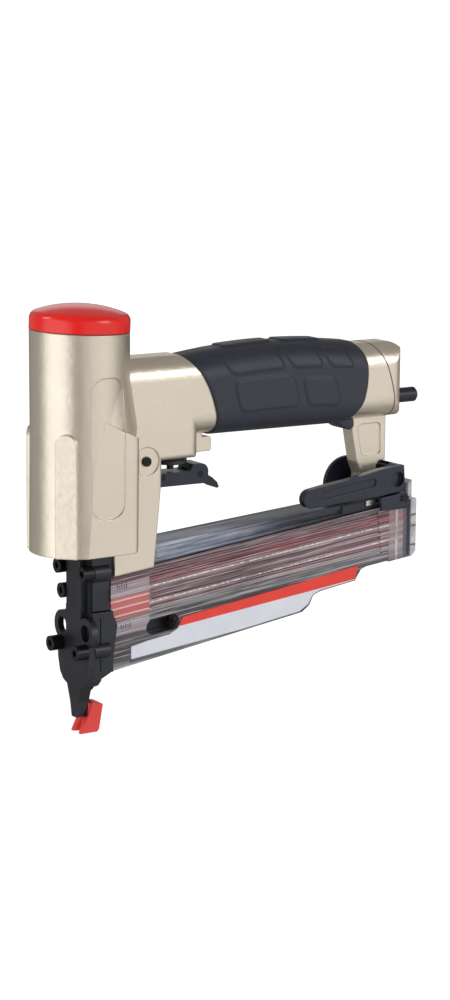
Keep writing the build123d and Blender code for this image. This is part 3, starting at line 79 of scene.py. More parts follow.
# ---------------------------------------------------------------- material helpers
class Build:
    """A small wrapper that makes and links the nodes of one material."""

    def __init__(self, name):
        self.material = bpy.data.materials.new(name)
        self.material.use_nodes = True
        self.tree = self.material.node_tree
        self.tree.nodes.clear()
        self.output = self.add("ShaderNodeOutputMaterial")
        self.place = self.add("ShaderNodeTexCoord").outputs["Object"]

    def add(self, kind, **settings):
        node = self.tree.nodes.new(kind)
        for key, value in settings.items():
            setattr(node, key, value)
        return node

    def link(self, source, target):
        self.tree.links.new(source, target)

    def put(self, socket, value):
        if isinstance(value, bpy.types.NodeSocket):
            self.link(value, socket)
        else:
            socket.default_value = value

    def math(self, operation, a, b=0.0, c=0.0):
        node = self.add("ShaderNodeMath", operation=operation)
        for socket, value in zip(node.inputs, (a, b, c)):
            self.put(socket, value)
        return node.outputs[0]

    def noise(self, scale, detail=3.0, roughness=0.5, vector=None):
        node = self.add("ShaderNodeTexNoise")
        self.put(node.inputs["Vector"], vector or self.place)
        node.inputs["Scale"].default_value = scale
        node.inputs["Detail"].default_value = detail
        node.inputs["Roughness"].default_value = roughness
        return node.outputs["Fac"]

    def stretched(self, x, y, z):
        """Place turned level with the feed line, with its own scale along each axis."""
        node = self.add("ShaderNodeMapping")
        self.link(self.place, node.inputs["Vector"])
        node.inputs["Rotation"].default_value = (0.0, FEED_ANGLE, 0.0)
        node.inputs["Scale"].default_value = (x, y, z)
        return node.outputs["Vector"]

    def spread(self, value, low, high, to_low, to_high, smooth=False):
        node = self.add("ShaderNodeMapRange")
        node.interpolation_type = "SMOOTHSTEP" if smooth else "LINEAR"
        self.put(node.inputs["Value"], value)
        for key, number in zip(
            ("From Min", "From Max", "To Min", "To Max"), (low, high, to_low, to_high)
        ):
            self.put(node.inputs[key], number)
        return node.outputs["Result"]

    def mix(self, factor, a, b):
        node = self.add("ShaderNodeMix", data_type="RGBA")
        self.put(node.inputs["Factor"], factor)
        self.put(node.inputs[6], a if isinstance(a, bpy.types.NodeSocket) else (*a, 1.0))
        self.put(node.inputs[7], b if isinstance(b, bpy.types.NodeSocket) else (*b, 1.0))
        return node.outputs[2]

    def soft_edge(self, radius):
        node = self.add("ShaderNodeBevel", samples=4)
        node.inputs["Radius"].default_value = radius
        return node.outputs["Normal"]

    def edge_mask(self, radius, low=0.02, high=0.25):
        """About 1 on a sharp outer or inner edge and 0 on a flat face."""
        soft = self.soft_edge(radius)
        normal = self.add("ShaderNodeNewGeometry").outputs["Normal"]
        node = self.add("ShaderNodeVectorMath", operation="DOT_PRODUCT")
        self.link(soft, node.inputs[0])
        self.link(normal, node.inputs[1])
        bend = self.math("SUBTRACT", 1.0, node.outputs["Value"])
        return self.spread(bend, low, high, 0.0, 1.0)

    def bump(self, height, distance, strength=1.0, normal=None):
        node = self.add("ShaderNodeBump")
        node.inputs["Strength"].default_value = strength
        node.inputs["Distance"].default_value = distance
        self.link(height, node.inputs["Height"])
        if normal is not None:
            self.link(normal, node.inputs["Normal"])
        return node.outputs["Normal"]

    def shader(self, color, roughness, normal=None, **inputs):
        node = self.add("ShaderNodeBsdfPrincipled")
        self.put(
            node.inputs["Base Color"],
            color if isinstance(color, bpy.types.NodeSocket) else (*color, 1.0),
        )
        self.put(node.inputs["Roughness"], roughness)
        if normal is not None:
            self.link(normal, node.inputs["Normal"])
        for key, value in inputs.items():
            socket = node.inputs[key.replace("_", " ")]
            if isinstance(value, tuple) and len(value) == 3 and socket.type == "RGBA":
                value = (*value, 1.0)
            self.put(socket, value)
        return node.outputs["BSDF"]

    def done(self, shader):
        self.link(shader, self.output.inputs["Surface"])
        return self.material

    def axis(self, letter):
        """One coordinate of the surface point, in metres."""
        node = self.add("ShaderNodeSeparateXYZ")
        self.link(self.place, node.inputs[0])
        return node.outputs[letter]

    def bands(self, value, low, high, stops):
        """Colours by value: stops are (value, colour) pairs from low to high."""
        node = self.add("ShaderNodeValToRGB")
        ramp = node.color_ramp
        first, *others = stops
        ramp.elements[0].position = (first[0] - low) / (high - low)
        ramp.elements[0].color = (*first[1], 1.0)
        ramp.elements[1].position = (others[-1][0] - low) / (high - low)
        ramp.elements[1].color = (*others[-1][1], 1.0)
        for place, color in others[:-1]:
            element = ramp.elements.new((place - low) / (high - low))
            element.color = (*color, 1.0)
        self.link(self.spread(value, low, high, 0.0, 1.0), node.inputs[0])
        return node.outputs["Color"]

    def line(self, value, middle, half, soft):
        """1 where value is within half of middle, with soft shoulders."""
        away = self.math("ABSOLUTE", self.math("SUBTRACT", value, middle))
        return self.spread(away, half, half + soft, 1.0, 0.0, smooth=True)

    def feed_space(self, stretch):
        """Place measured along and above the feed line, drawn out lengthwise for streaks."""
        node = self.add("ShaderNodeMapping", vector_type="TEXTURE")
        node.inputs["Rotation"].default_value = (0.0, -FEED_ANGLE, 0.0)
        node.inputs["Scale"].default_value = (1.0 / stretch, 1.0, 1.0)
        self.link(self.place, node.inputs["Vector"])
        return node.outputs[0]

    def feed_height(self):
        """Height above the magazine's feed line, in metres."""
        node = self.add("ShaderNodeSeparateXYZ")
        self.link(self.place, node.inputs[0])
        up = self.math("MULTIPLY", node.outputs["Z"], math.cos(FEED_ANGLE))
        along = self.math("MULTIPLY", node.outputs["X"], math.sin(FEED_ANGLE))
        return self.math(
            "SUBTRACT",
            self.math("SUBTRACT", up, along),
            FEED_Z * math.cos(FEED_ANGLE),
        )


def paint_champagne():
    """Metallic paint over a cast surface: pebbled, speckled, and worn at its edges."""
    m = Build("champagne_paint")
    cloud = m.noise(38.0, 3.0)
    grain = m.noise(1100.0, 3.0, 0.6)
    pebble = m.noise(330.0, 2.0, 0.45)
    color = m.mix(m.spread(cloud, 0.3, 0.7, 0.0, 1.0), (0.700, 0.620, 0.510), (0.730, 0.655, 0.550))
    color = m.mix(m.spread(grain, 0.52, 0.72, 0.0, 0.30), color, (0.82, 0.76, 0.67))
    wear = m.math("MULTIPLY", m.edge_mask(PAINT_WEAR), m.spread(grain, 0.45, 0.62, 0.0, 0.5))
    color = m.mix(wear, color, (0.90, 0.85, 0.76))
    rough = m.spread(pebble, 0.3, 0.7, 0.28, 0.34)
    cast = m.math("ADD", m.math("MULTIPLY", grain, 0.5), m.math("MULTIPLY", pebble, 1.6))
    normal = m.bump(cast, 0.12 * MM, 0.6, m.soft_edge(0.8 * MM))
    return m.done(m.shader(color, rough, normal, Metallic=0.80, Coat_Weight=0.08, Coat_Roughness=0.2))


def paint_red():
    """Glossy red paint with a slight orange peel."""
    m = Build("gloss_red_paint")
    cloud = m.noise(45.0, 3.0)
    color = m.mix(m.spread(cloud, 0.3, 0.7, 0.0, 1.0), (0.93, 0.010, 0.007), (0.99, 0.016, 0.011))
    color = m.mix(m.math("MULTIPLY", m.edge_mask(PAINT_WEAR), 0.35), color, (0.86, 0.12, 0.09))
    peel = m.noise(320.0, 2.0)
    rough = m.spread(m.noise(180.0, 4.0), 0.3, 0.7, 0.16, 0.24)
    normal = m.bump(peel, 0.04 * MM, 0.4, m.soft_edge(0.6 * MM))
    return m.done(m.shader(color, rough, normal, Coat_Weight=0.3, Coat_Roughness=0.08, IOR=1.42))


def dark_metal(name, low, high, rough_low, rough_high, worn, metallic=0.5):
    """Blackened metal whose edges are rubbed lighter."""
    m = Build(name)
    grain = m.noise(420.0, 4.0, 0.6)
    smudge = m.noise(70.0, 4.0)
    color = m.mix(m.spread(smudge, 0.3, 0.7, 0.0, 1.0), low, high)
    edge = m.math("MULTIPLY", m.edge_mask(METAL_WEAR), m.spread(grain, 0.4, 0.6, 0.25, 0.9))
    color = m.mix(edge, color, worn)
    rough = m.spread(smudge, 0.3, 0.7, rough_low, rough_high)
    normal = m.bump(grain, 0.03 * MM, 0.5, m.soft_edge(0.5 * MM))
    return m.done(m.shader(color, rough, normal, Metallic=metallic))


def bright_metal(name, color, rough, along):
    """Bare brushed metal, its streaks drawn out along one axis."""
    m = Build(name)
    streaks = m.noise(900.0, 4.0, 0.6, m.stretched(*along))
    shade = m.mix(m.spread(streaks, 0.3, 0.7, 0.0, 1.0), tuple(c * 0.82 for c in color), color)
    value = m.spread(streaks, 0.3, 0.7, rough, rough + 0.12)
    normal = m.bump(streaks, 0.02 * MM, 0.4, m.soft_edge(0.3 * MM))
    return m.done(m.shader(shade, value, normal, Metallic=1.0))


def moulded(
    name, low, high, rough_low, rough_high,
    grain_scale=1400.0, depth=0.03 * MM, edge=0.6 * MM, worn=None,
):
    """Moulded plastic or rubber with a fine grain."""
    m = Build(name)
    grain = m.noise(grain_scale, 2.0)
    cloud = m.noise(55.0, 3.0)
    color = m.mix(m.spread(cloud, 0.3, 0.7, 0.0, 1.0), low, high)
    if worn:
        color = m.mix(m.math("MULTIPLY", m.edge_mask(PAINT_WEAR), 0.5), color, worn)
    rough = m.spread(cloud, 0.3, 0.7, rough_low, rough_high)
    normal = m.bump(grain, depth, 0.6, m.soft_edge(edge))
    return m.done(m.shader(color, rough, normal))


def ribbed_cover():
    """The clear ribbed cover: mauve and red guide lines glow through its ribs."""
    m = Build("smoked_clear")
    height = m.feed_height()
    along = m.axis("X")
    drag = m.noise(1300.0, 3.0, 0.6, m.feed_space(0.010))
    thread = m.noise(2300.0, 2.0, 0.5, m.feed_space(0.012))
    cloud = m.noise(60.0, 3.0, 0.5, m.feed_space(0.25))
    wavy = m.math("ADD", height, m.math("MULTIPLY", m.math("SUBTRACT", drag, 0.5), LINE_WAVER))
    color = m.bands(wavy, *COVER_SPAN, COVER_BANDS)
    color = m.mix(m.spread(cloud, 0.42, 0.68, 0.0, 0.7), color, m.mix(0.6, color, tone(92, 90, 95)))
    color = m.mix(m.spread(drag, 0.57, 0.63, 0.0, 0.40), color, tone(214, 190, 194))
    color = m.mix(m.spread(drag, 0.41, 0.48, 0.85, 0.0), color, tone(44, 24, 32))
    color = m.mix(m.spread(thread, 0.61, 0.65, 0.0, 0.65), color, tone(226, 208, 210))
    color = m.mix(m.spread(thread, 0.38, 0.43, 0.90, 0.0), color, tone(44, 30, 38))
    # Painted glints: bright, dotted highlight lines painted into the colour along two of the ribs
    sparkle = m.noise(1500.0, 2.0, 0.5, m.feed_space(0.55))
    for line_height in PAINTED_GLINT_LINES:
        on_line = m.line(height, line_height, PAINTED_GLINT_HALF, 0.25 * MM)
        painted_glint = m.math("MULTIPLY", on_line, m.spread(sparkle, 0.42, 0.60, 0.25, 1.0))
        color = m.mix(painted_glint, color, tone(250, 240, 238))
    # At the front: a red window between two grey ones
    front = m.spread(along, WINDOW_END - 0.6 * MM, WINDOW_END, 1.0, 0.0)
    window = m.math("MULTIPLY", m.line(height, *RED_WINDOW, 0.4 * MM), front)
    # Painted highlight: a pale line along each rib across the red window, where the cover is also a
    # little less clear
    rib_highlight = m.line(m.math("FRACT", m.math("DIVIDE", height, RIB_PITCH)), 0.5, 0.05, 0.09)
    glow = m.mix(m.spread(cloud, 0.35, 0.65, 0.0, 1.0), tone(232, 108, 108), tone(240, 138, 138))
    color = m.mix(window, color, m.mix(rib_highlight, glow, tone(248, 222, 220)))
    grey = m.mix(m.spread(thread, 0.42, 0.58, 0.0, 1.0), tone(150, 138, 148), tone(206, 192, 200))
    for middle, half in GREY_WINDOWS:
        pane = m.math("MULTIPLY", m.line(height, middle, half, 0.3 * MM), front)
        color = m.mix(m.math("MULTIPLY", pane, 0.85), color, grey)
    clearing = m.math("MULTIPLY", window, m.math("SUBTRACT", 0.30, m.math("MULTIPLY", rib_highlight, 0.20)))
    alpha = m.math("SUBTRACT", 0.95, clearing)
    rough = m.spread(drag, 0.35, 0.65, 0.14, 0.26)
    normal = m.bump(drag, 0.03 * MM, 0.4, m.soft_edge(0.4 * MM))
    return m.done(m.shader(color, rough, normal, Alpha=alpha, Coat_Weight=0.4, Coat_Roughness=0.05))


def end_block():
    """The clear end block: a frosted band, the dark door edge inside, then a clear plate."""
    m = Build("frosted_clear")
    along = m.axis("X")
    upward = m.axis("Z")
    cell = m.noise(260.0, 3.0, 0.6)
    streak = m.noise(700.0, 3.0, 0.6, m.feed_space(0.03))
    stain = m.bands(m.feed_height(), *COVER_SPAN, COVER_BANDS)
    frost = m.mix(m.spread(cell, 0.35, 0.65, 0.0, 1.0), tone(150, 140, 140), tone(224, 216, 213))
    stained = m.mix(m.spread(streak, 0.4, 0.6, 0.25, 0.7), stain, tone(150, 134, 137))
    clear_plate = m.mix(m.spread(cell, 0.38, 0.62, 0.0, 1.0), tone(176, 176, 182), tone(220, 220, 222))
    behind_door = m.math("GREATER_THAN", along, PLATE_START_X)
    color = m.mix(m.line(along, FROST_LINE_X, FROST_HALF, 0.4 * MM), stained, frost)
    door = m.mix(m.spread(cell, 0.35, 0.65, 0.0, 1.0), tone(52, 54, 66), tone(84, 84, 102))
    color = m.mix(m.line(along, DOOR_EDGE_X, DOOR_HALF, 0.3 * MM), color, door)
    color = m.mix(behind_door, color, clear_plate)
    on_side = m.math("GREATER_THAN", m.math("ABSOLUTE", m.axis("Y")), END_HALF_WIDTH - SIDE_SKIN)
    marked = m.math("MULTIPLY", behind_door, on_side)
    for mark in DOOR_MARKS:
        spot = m.math("MULTIPLY", m.line(upward, mark, MARK_HALF, 0.2 * MM), marked)
        color = m.mix(spot, color, tone(30, 30, 36))
    color = m.mix(m.math("MULTIPLY", m.edge_mask(CLEAR_WEAR), 0.7), color, tone(70, 70, 76))
    alpha = m.math("SUBTRACT", 0.92, m.math("MULTIPLY", behind_door, 0.22))
    rough = m.spread(cell, 0.3, 0.7, 0.10, 0.28)
    normal = m.bump(cell, 0.1 * MM, 0.6, m.soft_edge(0.5 * MM))
    return m.done(m.shader(color, rough, normal, Alpha=alpha, Coat_Weight=0.8, Coat_Roughness=0.05))


def label_film():
    """A plain white plate with a plain red band along its top; its lowest strip is smoked."""
    m = Build("label_film")
    height = m.feed_height()
    haze = m.noise(90.0, 3.0)
    white = m.mix(m.spread(haze, 0.3, 0.7, 0.0, 1.0), tone(228, 233, 245), tone(238, 242, 250))
    band = m.mix(m.spread(haze, 0.3, 0.7, 0.0, 1.0), (0.90, 0.034, 0.018), (0.96, 0.050, 0.028))
    streak = m.noise(1300.0, 3.0, 0.6, m.feed_space(0.01))
    smoke = m.mix(m.spread(streak, 0.4, 0.6, 0.0, 1.0), tone(70, 72, 80), tone(140, 142, 150))
    wobble = m.math("MULTIPLY", m.math("SUBTRACT", m.noise(1800.0, 2.0), 0.5), 0.06 * MM)
    edge = m.math("ADD", height, wobble)
    color = m.mix(m.spread(edge, BAND_LOW - 0.04 * MM, BAND_LOW + 0.04 * MM, 0.0, 1.0), white, band)
    color = m.mix(m.spread(edge, SMOKE_TOP - 0.04 * MM, SMOKE_TOP + 0.04 * MM, 1.0, 0.0), color, smoke)
    normal = m.bump(m.noise(1200.0, 2.0), 0.01 * MM, 0.3, m.soft_edge(0.3 * MM))
    return m.done(m.shader(color, m.spread(haze, 0.3, 0.7, 0.34, 0.44), normal, Coat_Weight=0.1))


def liner():
    """The channel behind the clear cover: steel with lengthwise red guide lines."""
    m = Build("channel_liner")
    streak = m.noise(900.0, 3.0, 0.6, m.feed_space(0.02))
    color = m.bands(m.feed_height(), *COVER_SPAN, COVER_BANDS)
    color = m.mix(m.spread(streak, 0.3, 0.7, 0.1, 0.6), color, tone(120, 100, 106))
    return m.done(m.shader(color, 0.34, m.bump(streak, 0.03 * MM, 0.4), Metallic=0.2))


def streaked_rail():
    """The rail: bluish streaked steel that darkens to the rear, with black edges."""
    m = Build("rail_steel")
    streak = m.noise(420.0, 4.0, 0.7, m.feed_space(0.05))
    cloud = m.noise(45.0, 3.0, 0.5, m.feed_space(0.3))
    bright = m.mix(m.spread(streak, 0.36, 0.64, 0.0, 1.0), tone(84, 92, 112), tone(186, 192, 208))
    deep = m.mix(m.spread(streak, 0.36, 0.64, 0.0, 1.0), tone(26, 29, 36), tone(78, 82, 94))
    back = m.math("ADD", m.axis("X"), m.math("MULTIPLY", m.math("SUBTRACT", cloud, 0.5), 60 * MM))
    color = m.mix(m.spread(back, *RAIL_DARKENS, 0.0, 1.0, smooth=True), bright, deep)
    # The top's far edge is a black line
    far = m.spread(m.axis("Y"), RAIL_LINE_Y, RAIL_LINE_Y + 0.4 * MM, 0.0, 1.0)
    color = m.mix(far, color, tone(26, 27, 31))
    color = m.mix(m.math("MULTIPLY", m.edge_mask(METAL_WEAR), 0.5), color, tone(40, 42, 50))
    rough = m.spread(cloud, 0.3, 0.7, 0.34, 0.46)
    normal = m.bump(streak, 0.03 * MM, 0.4, m.soft_edge(0.4 * MM))
    return m.done(m.shader(color, rough, normal, Metallic=0.35))


def grip_skin():
    """Matt grip rubber, faintly lighter along its edges."""
    m = Build("grip_rubber")
    grain = m.noise(1500.0, 2.0)
    cloud = m.noise(40.0, 3.0)
    color = m.mix(m.spread(cloud, 0.3, 0.7, 0.0, 1.0), tone(36, 41, 53), tone(43, 48, 61))
    rubbed = m.math("MULTIPLY", m.edge_mask(RUBBER_WEAR, 0.01, 0.15), 0.35)
    color = m.mix(rubbed, color, tone(60, 64, 74))
    rough = m.spread(cloud, 0.3, 0.7, 0.44, 0.54)
    normal = m.bump(grain, 0.03 * MM, 0.5)
    return m.done(m.shader(color, rough, normal, Sheen_Weight=0.05, Sheen_Roughness=0.4))


# Radius of the rubbed edges
PAINT_WEAR = 0.4 * MM
METAL_WEAR = 0.35 * MM
CLEAR_WEAR = 0.8 * MM
RUBBER_WEAR = 0.6 * MM

# Colours up the ribbed cover, by height above the feed line
COVER_SPAN = (-22 * MM, 22 * MM)
COVER_BANDS = (
    (-21 * MM, tone(150, 152, 158)), (-19 * MM, tone(92, 94, 100)), (-9 * MM, tone(86, 88, 95)),
    (-4.4 * MM, tone(72, 74, 80)), (-3.0 * MM, tone(160, 162, 166)), (-2.1 * MM, tone(96, 98, 104)),
    (-1.0 * MM, tone(150, 151, 156)), (1.5 * MM, tone(182, 174, 178)), (2.6 * MM, tone(140, 82, 92)),
    (4.2 * MM, tone(205, 178, 184)), (5.4 * MM, tone(168, 128, 138)), (6.8 * MM, tone(116, 66, 78)),
    (7.8 * MM, tone(192, 172, 178)), (9.4 * MM, tone(128, 88, 98)), (11.4 * MM, tone(186, 164, 168)),
    (12.9 * MM, tone(136, 78, 86)), (15.0 * MM, tone(186, 92, 98)), (16.4 * MM, tone(126, 84, 92)),
    (17.7 * MM, tone(160, 122, 130)), (18.6 * MM, tone(110, 58, 66)), (20.0 * MM, tone(120, 100, 106)),
)
# How far the guide lines waver, the heights of the two painted glints (painted highlight lines), and
# the pitch of the ribs that carry painted highlight lines across the red window
LINE_WAVER = 1.0 * MM
PAINTED_GLINT_LINES = (4.2 * MM, 11.4 * MM)
PAINTED_GLINT_HALF = 0.22 * MM
RIB_PITCH = 3.4 * MM
# The windows at the cover's front: where they end, then their middles and half heights
WINDOW_END = 30.0 * MM
RED_WINDOW = (5.0 * MM, 4.6 * MM)
GREY_WINDOWS = ((13.1 * MM, 2.9 * MM), (-3.8 * MM, 2.8 * MM))
# The end block, by X: a frosted line, the dark door edge, and the clear plate
FROST_LINE_X = 167.0 * MM
FROST_HALF = 0.4 * MM
DOOR_EDGE_X = 173.4 * MM
DOOR_HALF = 1.7 * MM
PLATE_START_X = DOOR_EDGE_X + 1.9 * MM
# Heights of the dark marks on the sides of the clear plate
DOOR_MARKS = (67.7 * MM, 77.0 * MM, 82.3 * MM)
MARK_HALF = 0.45 * MM
SIDE_SKIN = 0.4 * MM
# The rail: where it turns dark, and where the black line on its top begins
RAIL_DARKENS = (60 * MM, 110 * MM)
RAIL_LINE_Y = 5.6 * MM
# The plate: its red band lies above this height, and a smoked strip lies along its foot
BAND_LOW = -10.06 * MM
SMOKE_HEIGHT = 1.7 * MM


def feed_height_of(point):
    """Height of a point above the feed line, in metres."""
    return (point.z - FEED_Z) * math.cos(FEED_ANGLE) - point.x * math.sin(FEED_ANGLE)


END_HALF_WIDTH = max(v.co.y for v in nodes["magazine_end_cap"].data.vertices)
SMOKE_TOP = min(feed_height_of(v.co) for v in nodes["label_plate"].data.vertices) + SMOKE_HEIGHT

champagne = paint_champagne()
red_paint = paint_red()
black_steel = dark_metal(
    "black_steel", tone(40, 42, 48), tone(52, 54, 61), 0.30, 0.42, tone(100, 103, 110)
)
rail_steel = streaked_rail()
screw_black = dark_metal(
    "screw_black", (0.012, 0.013, 0.016), (0.022, 0.023, 0.027), 0.26, 0.38, (0.14, 0.145, 0.15), 0.7
)
trigger_black = dark_metal(
    "trigger_black", tone(36, 41, 53), tone(46, 51, 64), 0.28, 0.38, tone(92, 98, 112), 0.3
)
steel = bright_metal("bright_steel", (0.62, 0.62, 0.60), 0.22, (0.2, 1.0, 1.0))
rubber_ring = moulded("ring_rubber", (0.012, 0.012, 0.013), (0.020, 0.020, 0.021), 0.55, 0.68)
black_plastic = moulded("black_plastic", (0.016, 0.017, 0.020), (0.024, 0.025, 0.029), 0.38, 0.50)
latch_plastic = moulded(
    "latch_plastic", tone(22, 28, 44), tone(31, 38, 55), 0.28, 0.38,
    grain_scale=1000.0, edge=0.9 * MM, worn=tone(78, 86, 104),
)
tip_plastic = moulded(
    "tip_plastic", (0.80, 0.034, 0.028), (0.90, 0.060, 0.048), 0.28, 0.38,
    grain_scale=900.0, edge=0.7 * MM, worn=(0.86, 0.20, 0.16),
)
red_plastic = moulded("red_plastic", tone(226, 112, 112), tone(240, 140, 138), 0.28, 0.38)
smoked = ribbed_cover()
frosted = end_block()
grip_rubber = grip_skin()
label = label_film()
channel = liner()

slot_materials = {
    "cast_housing": champagne,
    "red_cap": red_paint,
    "black_rubber": rubber_ring,
    "black_screw": screw_black,
    "steel": steel,
    "black_steel": black_steel,
    "black_plastic": black_plastic,
    "trigger_black": trigger_black,
    "smoked_clear": smoked,
    "clear_plastic": frosted,
    "red_plastic": red_plastic,
    "plain_label": label,
    "red_tip": tip_plastic,
    "latch_black": latch_plastic,
    "grip_rubber": grip_rubber,
}
slot_of = {row["node"]: row["material_slot"] for row in frame["record"]["subparts"]}
# Nodes that look different from the rest of their slot
own_material = {"inner_rail": channel, "magazine_rail": rail_steel, "valve_stem": black_steel}
for name, obj in nodes.items():
    material = own_material.get(name) or slot_materials[slot_of[name]]
    obj.data.materials.clear()
    obj.data.materials.append(material)


# ---------------------------------------------------------------- new pieces
def piece(name, vertices, faces, material, smooth=True, body="frame", between=None):
    """A new mesh that rides on a body, or, when between is given, stays fixed where it is made."""
    mesh = bpy.data.meshes.new(name)
    mesh.from_pydata(vertices, [], faces)
    for polygon in mesh.polygons:
        polygon.use_smooth = smooth
    mesh.materials.append(material)
    obj = bpy.data.objects.new(name, mesh)
    bpy.context.scene.collection.objects.link(obj)
    if between:
        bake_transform(obj)
    else:
        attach(obj, body)
    return obj


def extent(name):
    """The lowest and highest X, Y and Z of a node."""
    points = [vertex.co for vertex in nodes[name].data.vertices]
    return [(min(p[i] for p in points), max(p[i] for p in points)) for i in range(3)]


def circle_through(a, b, c):
    """Centre and radius of the circle through three (X, Z) points."""
    (ax, az), (bx, bz), (cx, cz) = a, b, c
    d = 2 * (ax * (bz - cz) + bx * (cz - az) + cx * (az - bz))
    sa, sb, sc = ax * ax + az * az, bx * bx + bz * bz, cx * cx + cz * cz
    x = (sa * (bz - cz) + sb * (cz - az) + sc * (az - bz)) / d
    z = (sa * (cx - bx) + sb * (ax - cx) + sc * (bx - ax)) / d
    return x, z, math.hypot(ax - x, az - z)


def rear_arc(circle, z):
    """X on the rear half of a circle at height z."""
    x, middle, radius = circle
    return x + math.sqrt(max(radius ** 2 - (z - middle) ** 2, 0.0))


def round_section(t, half_width, low, high, corner):
    """Point (y, z) and outward normal at fraction t round a rounded rectangle, from top centre."""
    flat, wall, bend = half_width - corner, (high - low) - 2 * corner, corner * math.pi / 2
    half = 2 * flat + wall + 2 * bend
    way = abs(t) * half
    hand = 1.0 if t >= 0 else -1.0
    middle_high, middle_low = high - corner, low + corner
    if way < flat:
        y, z, ny, nz = way, high, 0.0, 1.0
    elif way < flat + bend:
        a = (way - flat) / corner
        ny, nz = math.sin(a), math.cos(a)
        y, z = flat + corner * ny, middle_high + corner * nz
    elif way < flat + bend + wall:
        y, z, ny, nz = half_width, middle_high - (way - flat - bend), 1.0, 0.0
    elif way < flat + 2 * bend + wall:
        a = (way - flat - bend - wall) / corner
        ny, nz = math.cos(a), -math.sin(a)
        y, z = flat + corner * ny, middle_low + corner * nz
    else:
        y, z, ny, nz = half - way, low, 0.0, -1.0
    return hand * y, z, hand * ny, nz, way


# The grip seen from the side: an arc at each end, an arc over the top and a straight foot
GRIP_FRONT = circle_through((39.8 * MM, 173 * MM), (57.1 * MM, 154.6 * MM), (62.8 * MM, 128 * MM))
GRIP_REAR = circle_through((140.3 * MM, 172 * MM), (145.9 * MM, 152 * MM), (133.5 * MM, 125 * MM))
GRIP_CROWN = circle_through((38 * MM, 165.7 * MM), (96 * MM, 170.9 * MM), (150 * MM, 166.8 * MM))
GRIP_LOW = ((38 * MM, 129.5 * MM), (150 * MM, 128.4 * MM))
GRIP_CORNER = 13 * MM
GRIP_START_X = 100 * MM
GRIP_RIM = 1.2 * MM
GRIP_WALL = 2.2 * MM
GRIP_COLUMNS = 184
GRIP_ROWS = 150
ARC_ROUNDS = 4
FIELD_DEPTH = 0.7 * MM
PANEL_EDGE = 0.4 * MM
# Raised panels: centre along X, centre down the side, half sizes, slant of the ends
GRIP_PANELS = (
    (81 * MM, 15.5 * MM, 14.5 * MM, 6.6 * MM, 0.55),
    (108 * MM, 15.5 * MM, 8.5 * MM, 6.6 * MM, 0.55),
    (128 * MM, 17.0 * MM, 6.5 * MM, 5.0 * MM, 0.55),
    (89 * MM, 32.5 * MM, 16.0 * MM, 7.4 * MM, 0.25),
    (119 * MM, 33.5 * MM, 9.0 * MM, 6.4 * MM, 0.25),
    (84 * MM, 0.0, 13.0 * MM, 6.0 * MM, 0.0),
    (113 * MM, 0.0, 11.0 * MM, 6.0 * MM, 0.0),
)


def panel_rise(x, way):
    """1 on a raised panel of the grip, 0 on the field round the panels."""
    rise = 0.0
    for middle_x, middle_way, half_x, half_way, slant in GRIP_PANELS:
        corner = 0.45 * half_way
        px = abs(x - middle_x - slant * (way - middle_way)) - half_x + corner
        py = abs(way - middle_way) - half_way + corner
        away = math.hypot(max(px, 0.0), max(py, 0.0)) + min(max(px, py), 0.0) - corner
        step = min(max((PANEL_EDGE - away) / (2 * PANEL_EDGE), 0.0), 1.0)
        rise = max(rise, step * step * (3 - 2 * step))
    return rise


LIP_OUTLINE = (
    (132.0, 131.0), (143.4, 131.0), (143.8, 127.2), (141.6, 125.4),
    (138.4, 126.5), (135.2, 128.8), (132.0, 129.6),
)
LIP_HALF_WIDTH = 6.3 * MM
LIP_ROUND = 0.8 * MM


def make_grip():
    """The rubber skin with its raised panels, and the lip under its rear end."""
    (_, _), (_, half_width), (_, _) = extent("grip_sleeve")
    (low_x, low_z), (far_x, far_z) = GRIP_LOW
    crown_x, crown_z, crown_radius = GRIP_CROWN
    vertices, faces = [], []
    for row in range(-2, GRIP_ROWS + 3):
        u = min(max(row / GRIP_ROWS, 0.0), 1.0)
        for column in range(GRIP_COLUMNS):
            t = 2 * column / GRIP_COLUMNS - 1
            # The section's height depends on X, and X on the end arcs: a few rounds settle both
            x = GRIP_START_X
            for _ in range(ARC_ROUNDS):
                low = low_z + (far_z - low_z) * ((x - low_x) / (far_x - low_x))
                high = crown_z + math.sqrt(crown_radius ** 2 - (x - crown_x) ** 2)
                y, z, ny, nz, way = round_section(t, half_width, low, high, GRIP_CORNER)
                first, last = rear_arc(GRIP_FRONT, z), rear_arc(GRIP_REAR, z)
                x = first + (last - first) * u
            from_end = min(x - first, last - x)
            sink = FIELD_DEPTH * (1 - panel_rise(x, way))
            if from_end < GRIP_RIM:
                sink += GRIP_RIM - math.sqrt(GRIP_RIM ** 2 - (GRIP_RIM - max(from_end, 0.0)) ** 2)
            # The rows past each end close the skin down to the casting
            if row < 0 or row > GRIP_ROWS:
                sink = GRIP_RIM + (GRIP_WALL - GRIP_RIM) * (1 if row in (-2, GRIP_ROWS + 2) else 0.5)
            vertices.append((x, y - ny * sink, z - nz * sink))
    for row in range(GRIP_ROWS + 4):
        start, above = row * GRIP_COLUMNS, (row + 1) * GRIP_COLUMNS
        for column in range(GRIP_COLUMNS):
            beside = (column + 1) % GRIP_COLUMNS
            faces.append((start + column, start + beside, above + beside, above + column))
    grip = piece("grip_skin", vertices, faces, grip_rubber)

    count = len(LIP_OUTLINE)
    ring = [(x * MM, hand * LIP_HALF_WIDTH, z * MM) for hand in (-1, 1) for x, z in LIP_OUTLINE]
    sides = [(i, (i + 1) % count, count + (i + 1) % count, count + i) for i in range(count)]
    lip = piece(
        "grip_lip", ring, [tuple(range(count))[::-1], tuple(range(count, 2 * count)), *sides],
        grip_rubber,
    )
    form = bmesh.new()
    form.from_mesh(lip.data)
    bmesh.ops.bevel(
        form, geom=form.edges[:], offset=LIP_ROUND, segments=3, profile=0.5, affect="EDGES"
    )
    bmesh.ops.recalc_face_normals(form, faces=form.faces)
    form.to_mesh(lip.data)
    form.free()
    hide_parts("grip_sleeve")
    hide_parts("grip_sleeve")


